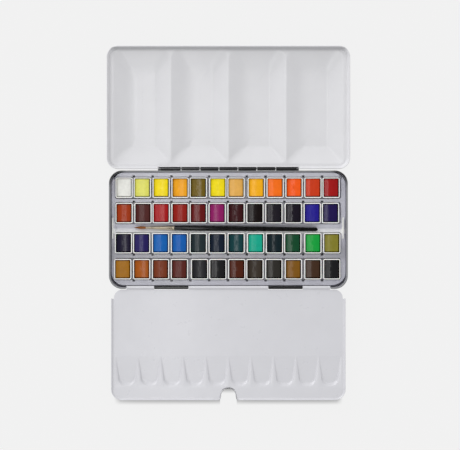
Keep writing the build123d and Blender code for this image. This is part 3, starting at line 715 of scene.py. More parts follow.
def thicken(piece, thickness):
    """Gives an open sheet its thickness on the side away from its normals."""
    wall = piece.modifiers.new("sheet", "SOLIDIFY")
    wall.thickness = thickness
    wall.offset = -1
    wall.use_even_offset = False
    wall.use_quality_normals = True
    wall.material_offset = BACK_SLOT
    wall.material_offset_rim = BACK_SLOT
    return applied(piece)


def crisp(piece, degrees=SHARP_SHEET):
    """Smooth shading that stops at sharp edges, with flats kept flat."""
    piece.data.shade_smooth()
    piece.data.set_sharp_from_angle(angle=radians(degrees))
    weighted = piece.modifiers.new("normals", "WEIGHTED_NORMAL")
    weighted.keep_sharp = True
    weighted.weight = NORMAL_WEIGHT
    return piece


def place(piece, body, slot, *nodes):
    """Rides a piece on its body and hides the CAD nodes that it stands for; its slot, a finish's name, is
    not used.
    """
    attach(piece, body)
    if nodes:
        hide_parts(*nodes)
    return piece


def ribbon(line, thickness):
    """Outer and inner sides of a bent strip: its line moved by half its thickness along its normals."""
    line = np.array(line, float)
    tangent = np.gradient(line, axis=0)
    tangent /= np.linalg.norm(tangent, axis=1, keepdims=True)
    normal = np.column_stack([-tangent[:, 1], tangent[:, 0]])
    return line + normal * thickness / 2, line - normal * thickness / 2


def rolled_strip(shell, x_low, x_high, line, thickness):
    """A bent strip of sheet along X, as a closed solid. The line runs in the YZ plane, and the ends
    may differ from point to point, so that they can be slanted."""
    one, two = ribbon(line, thickness)
    x_low = np.broadcast_to(x_low, len(one))
    x_high = np.broadcast_to(x_high, len(one))
    low_one, low_two = np.column_stack([x_low, one]), np.column_stack([x_low, two])
    high_one, high_two = np.column_stack([x_high, one]), np.column_stack([x_high, two])
    sides = (low_one, high_one), (low_two, high_two), (low_one, low_two), (high_one, high_two)
    for first, second in sides:
        shell.grid([first, second], False)
    for end in (0, -1):
        shell.grid([[low_one[end], low_two[end]], [high_one[end], high_two[end]]], False)


def arc_points(cy, cz, radius, start, end, count):
    """Points on a circle round (cy, cz): centre plus radius times (cos, sin) of the angle in degrees."""
    angle = np.radians(np.linspace(start, end, count))
    return np.column_stack([cy + radius * np.cos(angle), cz + radius * np.sin(angle)])


def turned(shell, x, radius, middle, count):
    """Solid of revolution round a line near X: at each place, middle plus radius times (cos, sin)."""
    angle = np.linspace(0, 2 * pi, count, endpoint=False)
    x, radius = np.array(x, float), np.array(radius, float)
    cy, cz = middle(x)
    grid = np.empty((len(x), count, 3))
    grid[..., 0] = x[:, None]
    grid[..., 1] = cy[:, None] + radius[:, None] * np.cos(angle)
    grid[..., 2] = cz[:, None] + radius[:, None] * np.sin(angle)
    shell.grid(grid, True)


# Materials

class Nodes:
    """Short way to lay out one material's nodes."""

    def __init__(self, name):
        self.material = bpy.data.materials.new(name)
        self.material.use_nodes = True
        self.tree = self.material.node_tree
        self.tree.nodes.clear()
        self.output = self.tree.nodes.new("ShaderNodeOutputMaterial")

    def add(self, kind, **settings):
        """A new node of a kind, with its settings."""
        made = self.tree.nodes.new(f"ShaderNode{kind}")
        for key, value in settings.items():
            setattr(made, key, value)
        return made

    def link(self, out, into):
        """Joins a node's output to another node's input."""
        self.tree.links.new(out, into)

    def feed(self, value, socket):
        """Gives an input another node's output, a number or a colour."""
        if isinstance(value, bpy.types.NodeSocket):
            self.link(value, socket)
        elif isinstance(value, tuple):
            socket.default_value = (*value, 1)
        else:
            socket.default_value = value

    def coordinates(self, scale):
        """Object coordinates in metres, stretched by a scale on each axis."""
        where = self.add("TexCoord")
        mapping = self.add("Mapping")
        mapping.inputs["Scale"].default_value = scale
        self.link(where.outputs["Object"], mapping.inputs["Vector"])
        return mapping.outputs["Vector"]

    def place(self):
        """The X and Y of the object coordinates."""
        where = self.add("TexCoord")
        split = self.add("SeparateXYZ")
        self.link(where.outputs["Object"], split.inputs[0])
        return split.outputs["X"], split.outputs["Y"]

    def math(self, operation, *values):
        """A sum, product or other operation on the values of other nodes."""
        made = self.add("Math", operation=operation)
        for value, socket in zip(values, made.inputs):
            self.link(value, socket)
        return made.outputs[0]

    def noise(self, scale, detail, roughness=0.5, stretch=(1, 1, 1)):
        """Noise over the object coordinates."""
        texture = self.add("TexNoise")
        texture.inputs["Scale"].default_value = scale
        texture.inputs["Detail"].default_value = detail
        texture.inputs["Roughness"].default_value = roughness
        self.link(self.coordinates(stretch), texture.inputs["Vector"])
        return texture.outputs["Fac"]

    def remap(self, value, low, high, from_low=NOISE_LOW, from_high=NOISE_HIGH):
        """A value's range turned into another, and held at its two ends."""
        mapped = self.add("MapRange")
        mapped.inputs["From Min"].default_value = from_low
        mapped.inputs["From Max"].default_value = from_high
        mapped.inputs["To Min"].default_value = low
        mapped.inputs["To Max"].default_value = high
        self.link(value, mapped.inputs["Value"])
        return mapped.outputs["Result"]

    def band(self, value, rise, full, fade, end):
        """Share that goes from 0 at rise to 1 at full, and from 1 at fade to 0 at end."""
        return self.math("MULTIPLY", self.remap(value, 0, 1, rise, full), self.remap(value, 1, 0, fade, end))

    def mix(self, share, a, b):
        """Blend of two colours by a share, each a colour or another node's output."""
        mixed = self.add("Mix", data_type="RGBA")
        for key, value in (("A", a), ("B", b)):
            self.feed(value, [s for s in mixed.inputs if s.name == key and s.type == "RGBA"][0])
        self.link(share, [s for s in mixed.inputs if s.name == "Factor" and s.type == "VALUE"][0])
        return [s for s in mixed.outputs if s.type == "RGBA"][0]

    def bump(self, height, strength, distance):
        """Normals of a relief of some strength and height."""
        bumped = self.add("Bump")
        bumped.inputs["Strength"].default_value = strength
        bumped.inputs["Distance"].default_value = distance
        self.link(height, bumped.inputs["Height"])
        return bumped.outputs["Normal"]

    def surface(self, kind, **values):
        """A plain surface or light of a kind, with the values of its inputs."""
        made = self.add(kind)
        for key, value in values.items():
            self.feed(value, made.inputs[key])
        return made.outputs[0]

    def either(self, share, first, second):
        """Blend of two surfaces by a share."""
        mixed = self.add("MixShader")
        self.link(share, mixed.inputs["Fac"])
        self.link(first, mixed.inputs[1])
        self.link(second, mixed.inputs[2])
        return mixed.outputs[0]

    def shader(self, colour, roughness, normal=None, metallic=0.0, coat=0.0, coat_roughness=0.1,
               specular=0.5, subsurface=0.0):
        """The material's surface, with the same relief in its coat; gives back the material."""
        made = self.add("BsdfPrincipled")
        self.feed(colour, made.inputs["Base Color"])
        self.feed(roughness, made.inputs["Roughness"])
        made.inputs["Metallic"].default_value = metallic
        made.inputs["Coat Weight"].default_value = coat
        made.inputs["Coat Roughness"].default_value = coat_roughness
        made.inputs["Specular IOR Level"].default_value = specular
        made.inputs["Subsurface Weight"].default_value = subsurface
        made.inputs["Subsurface Scale"].default_value = 0.6 * MM
        if normal is not None:
            self.link(normal, made.inputs["Normal"])
            self.link(normal, made.inputs["Coat Normal"])
        self.link(made.outputs["BSDF"], self.output.inputs["Surface"])
        return self.material


def shaded(colour, factor):
    """A colour made darker or lighter by a factor."""
    return tuple(min(1.0, c * factor) for c in colour)


def mottled(n, colour):
    """Faint mottling of stoved lacquer, between two tones close to its colour."""
    dark, light = MOTTLING
    return n.mix(n.remap(n.noise(scale=60, detail=3), 0, 1), shaded(colour, dark), shaded(colour, light))


def lacquer(name, colour, roughness=LACQUER_ROUGHNESS, coat=LACQUER_COAT, specular=0.5):
    """Stoved lacquer on sheet: faint mottling and uneven gloss."""
    n = Nodes(name)
    tone = mottled(n, colour)
    gloss = n.remap(n.noise(scale=180, detail=4), roughness * GLOSS[0], roughness * GLOSS[1])
    return n.shader(tone, gloss, coat=coat, coat_roughness=LACQUER_COAT_ROUGHNESS, specular=specular)


def lid_finish(name, colour):
    """White lacquer of the lid, with painted shade inside its back skirt, where the photo shows a line of
    shade.
    """
    n = Nodes(name)
    # Painted shade in the fold of the back skirt
    painted_fold_shade = n.band(n.place()[1], *[LID_HIGH[1] + step for step in PAINTED_FOLD_SHADE])
    tone = n.mix(painted_fold_shade, mottled(n, colour), shaded(colour, PAINTED_FOLD_SHADE_TONE))
    return n.shader(tone, LACQUER_ROUGHNESS, coat=LACQUER_COAT, coat_roughness=LACQUER_COAT_ROUGHNESS)


def moulded_plastic(name, colour):
    """Moulded plastic with a fine satin and faint flow marks."""
    n = Nodes(name)
    tone = n.mix(n.remap(n.noise(scale=260, detail=3), 0, 1), shaded(colour, factor=0.97), colour)
    gloss = n.remap(n.noise(scale=700, detail=2), low=0.28, high=0.42)
    satin = n.bump(n.noise(scale=1500, detail=2), strength=0.05, distance=0.02 * MM)
    return n.shader(tone, gloss, satin, subsurface=0.05)


def dried_paint(name, colour, gloss):
    """Cake of watercolour: darker where it pooled at the wall and with painted shade there and in the gap
    below its top, with streaks from pouring and a skin whose shine depends on how much gum the paint holds.
    Dull paints are grainy instead."""
    n = Nodes(name)
    deep = tuple(max(c * PAINT_DEPTH - PAINT_HAZE, PAINT_FLOOR) for c in colour)
    pool = n.add("Attribute", attribute_name="pool")
    clouds = n.remap(n.noise(scale=300, detail=3), 0, 1)
    cloudy = n.mix(clouds, shaded(deep, PAINT_CLOUDS[0]), shaded(deep, PAINT_CLOUDS[1]))
    # Darker near the wall and in the gap: pooled paint and painted shade
    wall = n.remap(pool.outputs["Fac"], 0, POOL_SHADE_SHARE, *POOL_SHADE_RANGE)
    tone = n.mix(wall, cloudy, shaded(deep, POOL_SHADE_TONE + POOL_SHADE_TONE_PALE * min(colour)))
    if gloss > DULL_PAINT:
        streaks = n.noise(scale=300, detail=2, roughness=0.45, stretch=PAINT_STREAKS)
        relief = n.bump(streaks, strength=0.17, distance=0.14 * MM)
    else:
        grain = n.noise(scale=1300, detail=4, roughness=0.6)
        relief = n.bump(grain, strength=0.7, distance=0.18 * MM)
    coat = min(1.0, SKIN_COAT[0] + SKIN_COAT[1] * gloss)
    skin = SKIN_ROUGHNESS[0] + SKIN_ROUGHNESS[1] * gloss
    return n.shader(tone, roughness=0.75, normal=relief, coat=coat, coat_roughness=skin, specular=0.05)


def pale_metal(name, colour, roughness):
    """Polished metal with drawn lines along one axis."""
    n = Nodes(name)
    lines = n.noise(scale=900, detail=3, roughness=0.6, stretch=METAL_STRETCH)
    tone = n.mix(n.remap(lines, 0, 1), shaded(colour, factor=0.8), colour)
    gloss = n.remap(lines, low=roughness * 0.7, high=roughness * 1.4)
    return n.shader(tone, gloss, n.bump(lines, strength=0.15, distance=0.02 * MM), metallic=1.0)


def brush_hair_finish(name, colour):
    """Fine hair in streaks of light and dark brown."""
    n = Nodes(name)
    streak = n.noise(scale=2600, detail=3, roughness=0.6, stretch=HAIR_STRETCH)
    tone = n.mix(n.remap(streak, 0, 1), shaded(colour, factor=0.45), shaded(colour, factor=1.35))
    return n.shader(tone, roughness=0.42, normal=n.bump(streak, strength=0.3, distance=0.05 * MM))


def table_finish(colour):
    """Pale paper that lights the part from below. Seen directly it mostly glows evenly; in front of the
    mixing flap alone, as in the photo, and only while the flap lies over it, its rendered shade shows,
    deepened by its darker tone into painted shade."""
    n = Nodes("table_paper")
    bounce = n.surface("BsdfDiffuse", Color=(TABLE_BOUNCE,) * 3)
    # Its tone under light is darker than its glow, so the shade shown before the flap is partly painted
    # shade
    shade = n.surface("BsdfDiffuse", Color=(TABLE_ALBEDO,) * 3)
    glow = n.surface("Emission", Color=colour, Strength=TABLE_GLOW)
    x, y = n.place()
    edge, aside = FLAP_LOW[1], n.math("ABSOLUTE", x)
    notch = n.remap(aside, NOTCH_DEPTH, 0, NOTCH_RADIUS, NOTCH_RADIUS + SHADE_FULL)
    before = n.remap(n.math("SUBTRACT", y, notch), 0, 1, edge - SHADE_REACH, edge - SHADE_FULL)
    behind = n.remap(y, 1, 0, edge + NOTCH_DEPTH, edge + NOTCH_DEPTH + SHADE_REACH)
    across = n.remap(aside, 1, 0, FLAP_HIGH[0] - SHADE_REACH, FLAP_HIGH[0] - SHADE_FULL)
    front = n.math("MULTIPLY", n.math("MULTIPLY", before, behind), across)
    sky = n.add("AmbientOcclusion")
    sky.inputs["Distance"].default_value = SHADE_DISTANCE
    covered = n.remap(sky.outputs["AO"], 1, 0, SHADE_COVER, SHADE_OPEN)
    amount = n.remap(n.math("MULTIPLY", front, covered), TABLE_SHADE, FRONT_SHADE, 0, 1)
    seen = n.either(amount, glow, shade)
    path = n.add("LightPath")
    direct = path.outputs["Is Camera Ray"]
    for ray in ("Is Glossy Ray", "Is Transmission Ray"):
        direct = n.math("MAXIMUM", direct, path.outputs[ray])
    above = n.either(direct, bounce, seen)
    # From below the table is clear, so that the part's underside can be seen.
    below = n.add("NewGeometry").outputs["Backfacing"]
    n.link(n.either(below, above, n.surface("BsdfTransparent")), n.output.inputs["Surface"])
    return n.material


def rolled_rim(name, dark, light):
    """Black rolled rim with a painted grey sheen where it faces the light, fading to its black round its two
    back corners.
    """
    n = Nodes(name)
    x, y = n.place()
    back = n.remap(y, 0, 1, *RIM_SHEEN_END_BACK)
    side = n.remap(n.math("ABSOLUTE", x), 0, 1, *RIM_SHEEN_END_SIDE)
    # Painted sheen away from the back corners, the black lacquer at them
    tone = n.mix(n.math("MULTIPLY", back, side), light, dark)
    relief = n.bump(n.noise(scale=500, detail=2), strength=0.05, distance=0.02 * MM)
    return n.shader(tone, LACQUER_ROUGHNESS, relief, coat=0.4)


def rack_finish(name, colour):
    """White lacquer of the rack, with painted shade where its ledge lies in the shade of the third row and
    painted light at its back edge and along the gutter's lower half, as the photo shows it."""
    n = Nodes(name)
    y = n.place()[1]
    # Painted shade by the third row, painted light on the back edge and the gutter's lower half
    tone = n.mix(n.band(y, *PAINTED_SHADE_ROW), colour, shaded(colour, PAINTED_SHADE_ROW_TONE))
    tone = n.mix(n.remap(y, 0, 1, *PAINTED_LIGHT_BACK), tone, shaded(colour, PAINTED_LIGHT_BACK_TONE))
    tone = n.mix(n.band(y, *PAINTED_LIGHT_GUTTER), tone, shaded(colour, PAINTED_LIGHT_GUTTER_TONE))
    return n.shader(tone, LACQUER_ROUGHNESS, coat=LACQUER_COAT, coat_roughness=LACQUER_COAT_ROUGHNESS)


FINISHES = {}


def finishes():
    """The shared materials, made once from the scene's settings."""
    if not FINISHES:
        s = bpy.context.scene.paint_box_finishes
        FINISHES["white"] = lid_finish("white_lacquer", tuple(s.white))
        FINISHES["flap_white"] = lacquer("flap_white_lacquer", tuple(s.flap_white))
        FINISHES["tray_white"] = lacquer("tray_white_lacquer", tuple(s.tray_white))
        FINISHES["rack_white"] = rack_finish("rack_white_lacquer", tuple(s.tray_white))
        FINISHES["edge_white"] = lacquer("edge_white_lacquer", tuple(s.plastic))
        FINISHES["rim"] = rolled_rim("tray_rim", tuple(s.black), tuple(s.rim))
        FINISHES["black"] = lacquer("black_lacquer", tuple(s.black), roughness=0.32, coat=0.6)
        FINISHES["plastic"] = moulded_plastic("pan_plastic", tuple(s.plastic))
        FINISHES["ferrule"] = pale_metal("ferrule_metal", tuple(s.ferrule), roughness=0.28)
        FINISHES["handle"] = lacquer("handle_lacquer", tuple(s.handle), roughness=0.1, coat=0.1,
                                     specular=0.25)
        FINISHES["hair"] = brush_hair_finish("brush_hair_brown", tuple(s.hair))
        FINISHES["steel"] = pale_metal("pin_steel", tuple(s.steel), roughness=0.35)
    return FINISHES


def knuckle_spans():
    """X ranges of the lid hinge's seven knuckles: two long ones outside and five between."""
    start = -(sum(KNUCKLE_LENGTHS) + KNUCKLE_GAP * (len(KNUCKLE_LENGTHS) - 1)) / 2
    spans = []
    for length in KNUCKLE_LENGTHS:
        spans.append((start, start + length))
        start += length + KNUCKLE_GAP
    return spans


# Pieces

def make_tray():
    """Pressed tray: its section is carried round a rounded rectangle. Black outside, white inside."""
    s = bpy.context.scene.paint_box_sizes
    f = finishes()
    low, high = (-TRAY_HALF, TRAY_FRONT), (TRAY_HALF, TRAY_BACK)
    loop = rounded_loop(low[0], high[0], low[1], high[1], (s.tray_corner,) * 4,
                        TRAY_ALONG, TRAY_UP, TRAY_ARC)
    away = outward(loop, low, high, s.tray_corner)
    top = TRAY_RIM_Z - s.rim / 2
    curl = s.rim / 2 - RIM_SHEET
    section = [(d * MM, z * MM) for d, z in TRAY_SECTION]
    hem = [tuple(p) for p in arc_points(-s.rim / 2, top, curl, 0, 180, RIM_POINTS)]
    tail = [(-s.rim / 2 - curl + d * MM, top - z * MM) for d, z in RIM_END]
    rings = [lifted(loop + away * d, z) for d, z in section]
    rim_rings = [rings[-1]] + [lifted(loop + away * d, z) for d, z in hem + tail]
    seat = BARREL_HALF + SEAT_MARGIN

    def keep(middle):
        front = (np.abs(middle[:, 0]) < seat) & (middle[:, 1] < TRAY_FRONT + SEAT_REACH)
        return ~(front & (middle[:, 2] > SEAT_FLOOR))

    shell = Shell()
    shell.grid(closing(rings[0], PANEL_STEPS) + rings, True, 0, keep)
    shell.grid(rim_rings, True, 2, keep)
    tray = shell.piece("tray_shell", [f["tray_white"], f["black"], f["rim"], f["rim"]], up=True)
    crisp(thicken(tray, s.sheet))
    place(tray, "base", "black_lacquer", "base_tray")

    knuckles = Shell()
    radius = KNUCKLE_RADIUS - s.sheet / 2
    spans = knuckle_spans()
    for x0, x1 in spans[::2]:
        leaf = [(TRAY_BACK - TRAY_LEAF[0] * MM, LID_AXIS_Z - radius - TRAY_LEAF[1] * MM)]
        line = np.concatenate([leaf, arc_points(LID_AXIS_Y, LID_AXIS_Z, radius, *TRAY_ROLL)])
        slant = np.linspace(0, OUTER_SLANT, len(line))
        low, high = x0 + slant * (x0 == spans[0][0]), x1 - slant * (x1 == spans[-1][1])
        rolled_strip(knuckles, low, high, line, s.sheet)
    piece = knuckles.piece("tray_lid_knuckles", [f["black"]])
    place(crisp(piece), "base", "black_lacquer")

    seats = Shell()
    radius = BARREL_RADIUS - s.sheet / 2
    for x0, x1 in FLAP_KNUCKLES:
        leaf = [(TRAY_FRONT + d * MM, z * MM) for d, z in SEAT_LEAF]
        line = np.concatenate([leaf, arc_points(FLAP_AXIS_Y, FLAP_AXIS_Z, radius, *SEAT_ROLL)])
        rolled_strip(seats, x0, x1, line, s.sheet)
    piece = seats.piece("tray_flap_knuckles", [f["black"]])
    place(crisp(piece), "base", "black_lacquer")


def make_lid():
    """Pressed lid: four wells lofted from a rounded mouth to a flat floor, a plateau and a hemmed skirt."""
    s = bpy.context.scene.paint_box_sizes
    f = finishes()
    rim, half, far = LID_RIM_Z, LID_HIGH[0], LID_HIGH[1]
    near = LID_NEAR
    plateau = rim - s.plateau
    border = LID_SKIRT + 2 * LID_CURL
    low, high = (border - half, near + border), (half - border, far - border)
    corner = s.lid_corner - border
    span = 2 * (half - WELL_SIDE_BAND)
    width = (span - (WELL_COUNT - 1) * WELL_RIDGE) / WELL_COUNT
    mouth_near, mouth_far = near + WELL_NEAR_BAND, far - WELL_FAR_BAND
    along, up, arc = LID_ALONG, LID_UP, LID_ARC
    n, m, c = len(along), len(up), arc - 1
    middle = (WELL_COUNT - 1) / 2
    ridges = [(i - middle - 0.5) * (width + WELL_RIDGE) for i in range(1, WELL_COUNT)]
    bounds_x = [low[0], *ridges, high[0]]
    softness = np.concatenate([
        np.full(n + c + m, FLOOR_CRISP), np.linspace(FLOOR_CRISP, FLOOR_SOFT, c),
        np.full(n + c + m, FLOOR_SOFT), np.linspace(FLOOR_SOFT, FLOOR_CRISP, c),
    ])
    shell = Shell()
    cells = []
    for i in range(WELL_COUNT):
        x = (i - middle) * (width + WELL_RIDGE)
        left, right = corner * (i == 0), corner * (i == WELL_COUNT - 1)
        cell = rounded_loop(bounds_x[i], bounds_x[i + 1], low[1], high[1], (left, right, right, left),
                            along, up, arc)
        mouth = rounded_loop(x - width / 2, x + width / 2, mouth_near, mouth_far, WELL_MOUTH_CORNERS,
                             along, up, arc)
        floor = rounded_loop(x - width / 2 + WELL_SIDE_SLOPE, x + width / 2 - WELL_SIDE_SLOPE,
                             mouth_near + WELL_NEAR_SLOPE, mouth_far - WELL_FAR_SLOPE,
                             WELL_FLOOR_CORNERS, along, up, arc)
        rings = [lifted(cell, plateau)]
        for t in WELL_STEPS:
            depth = s.well * soft_ramp(t, MOUTH_SOFTNESS, softness)
            rings.append(lifted(mouth + (floor - mouth) * t, plateau - depth))
        for t in FLOOR_STEPS:
            reach = width / 2 - WELL_SIDE_SLOPE * (1 + t)
            corners = [min(radius, FLOOR_CORNER_SHARE * reach) for radius in WELL_FLOOR_CORNERS]
            inner = rounded_loop(x - reach, x + reach, mouth_near + WELL_NEAR_SLOPE * (1 + t),
                                 mouth_far - WELL_FAR_SLOPE * (1 + t), corners, along, up, arc)
            rings.append(lifted(inner, plateau - s.well * soft_ramp(1 + t, MOUTH_SOFTNESS, softness)))
        shell.grid(rings + closing(rings[-1], CLOSING_STEPS), True)
        cells.append(cell)

    # The cells' outer sides make one outline, from which the skirt rises.
    side_right = slice(n, n + 2 * c + m)
    top = slice(n + 2 * c + m, 2 * n + 2 * c + m)
    side_left = slice(2 * n + 2 * c + m, None)
    outline = [cell[:n] for cell in cells] + [cells[-1][side_right]]
    outline += [cell[top] for cell in cells[::-1]] + [cells[0][side_left]]
    outline = without_doubles(np.concatenate(outline))
    away = outward(outline, low, high, corner)
    section = [(d * LID_SKIRT, plateau + z * MM) for d, z in SKIRT_SECTION]
    centre_z = rim - LID_CURL
    curl = arc_points(LID_SKIRT + LID_CURL, centre_z, LID_CURL, 180, 0, LID_CURL_POINTS)
    section += [tuple(p) for p in curl]
    section += [(border - d * MM, centre_z - z * MM) for d, z in LID_CURL_END]
    rings = [lifted(outline + away * d, z) for d, z in section]

    def keep(points):
        seat = (np.abs(points[:, 0]) < LID_SEAT) & (points[:, 1] < near + LID_SEAT_REACH)
        return ~(seat & (points[:, 2] > rim - LID_SEAT_DEPTH))

    shell.grid(rings, True, 0, keep)
    lid = shell.piece("lid_shell", [f["white"], f["black"]], up=True)
    crisp(thicken(lid, LID_SHEET))
    place(lid, "lid", "white_lacquer", "lid")

    knuckles = Shell()
    radius = KNUCKLE_RADIUS - s.sheet / 2
    for x0, x1 in knuckle_spans()[1::2]:
        leaf = [(near + d * MM, LID_AXIS_Z - z * MM) for d, z in LID_LEAF]
        line = np.concatenate([leaf, arc_points(LID_AXIS_Y, LID_AXIS_Z, radius, *LID_ROLL)])
        rolled_strip(knuckles, x0, x1, line, s.sheet)
    piece = knuckles.piece("lid_knuckles", [f["black"]])
    place(crisp(piece), "lid", "black_lacquer")


def finger_notch(far, count):
    """Evenly spaced points on the flap's front edge from one side to the other, round its finger notch.
    A quarter circle leads from the edge to a slanting side, and a half circle closes the notch."""
    centre = far + NOTCH_DEPTH - NOTCH_RADIUS
    side = NOTCH_RADIUS + NOTCH_FLARE
    quarter = np.linspace(-pi / 2, 0, NOTCH_MOUTH_POINTS)
    bend = np.column_stack([-side - NOTCH_MOUTH + NOTCH_MOUTH * np.cos(quarter),
                            far + NOTCH_MOUTH + NOTCH_MOUTH * np.sin(quarter)])
    turn = np.linspace(pi, pi / 2, NOTCH_POINTS)
    arc = np.column_stack([NOTCH_RADIUS * np.cos(turn), centre + NOTCH_RADIUS * np.sin(turn)])
    left = np.concatenate([[(-NOTCH_START, far)], bend, arc])
    whole = np.concatenate([left, (left * [-1, 1])[::-1][1:]])
    length = np.concatenate([[0], np.cumsum(np.linalg.norm(np.diff(whole, axis=0), axis=1))])
    at = np.linspace(0, length[-1], count)
    return np.column_stack([np.interp(at, length, whole[:, 0]), np.interp(at, length, whole[:, 1])])


def flap_cup(shell, x, front, back, cell, top, depth):
    """One small well: rings inside a U, from its cell's outline in to its middle line.
    The depth is the lesser of its wall, which runs down from the rim, and its floor, which slopes
    down to the front. Both are joined softly: -k times the log of the sum of e^(-a/k) and e^(-b/k)."""
    along, up, arc = FLAP_ALONG, FLAP_UP, FLAP_ARC
    rings = [lifted(cell, top)]
    for inset in CUP_INSETS:
        half = max(CUP_HALF - inset, 0)
        nose = max(CUP_NOSE - inset, 0)
        heel = max(CUP_HEEL - inset, 0)
        loop = rounded_loop(-half, half, front + CUP_NOSE_SPREAD * inset, back - CUP_BACK_SHARE * inset,
                            (nose, nose, heel, heel), along, up, arc)
        share = (loop[:, 1] - front) / (back - front)
        loop[:, 0] = loop[:, 0] * (1 + CUP_WIDENING * share) + x
        wall = soft_ramp(np.array(inset / CUP_WALL), CUP_SOFTNESS, CUP_SOFTNESS) * (depth + CUP_EXTRA)
        floor = depth * np.clip((back - loop[:, 1]) / (back - front - CUP_FLAT), 0, 1)
        sunk = -CUP_BLEND * np.logaddexp(-wall / CUP_BLEND, -floor / CUP_BLEND)
        rings.append(lifted(loop, top - np.maximum(sunk, 0)))
    shell.grid(rings, True)


def flap_lip():
    """Section of the flap's raised lip: steps outwards from the edge and heights over the plate.
    A hollow arc rises to a slope of LIP_RISE degrees, and a crest arc turns from there straight down."""
    rise = radians(LIP_RISE)
    hollow = np.linspace(0, rise, LIP_POINTS)
    crest = np.linspace(rise + pi / 2, 0, LIP_POINTS)[1:]
    reach = LIP_HOLLOW * np.sin(rise) + LIP_CREST * (1 + np.sin(rise))
    inner = np.column_stack([LIP_HOLLOW * np.sin(hollow) - reach, LIP_HOLLOW * (1 - np.cos(hollow))])
    height = inner[-1, 1] - LIP_CREST * np.cos(rise)
    outer = np.column_stack([LIP_CREST * (np.cos(crest) - 1), height + LIP_CREST * np.sin(crest)])
    return np.concatenate([inner, outer])


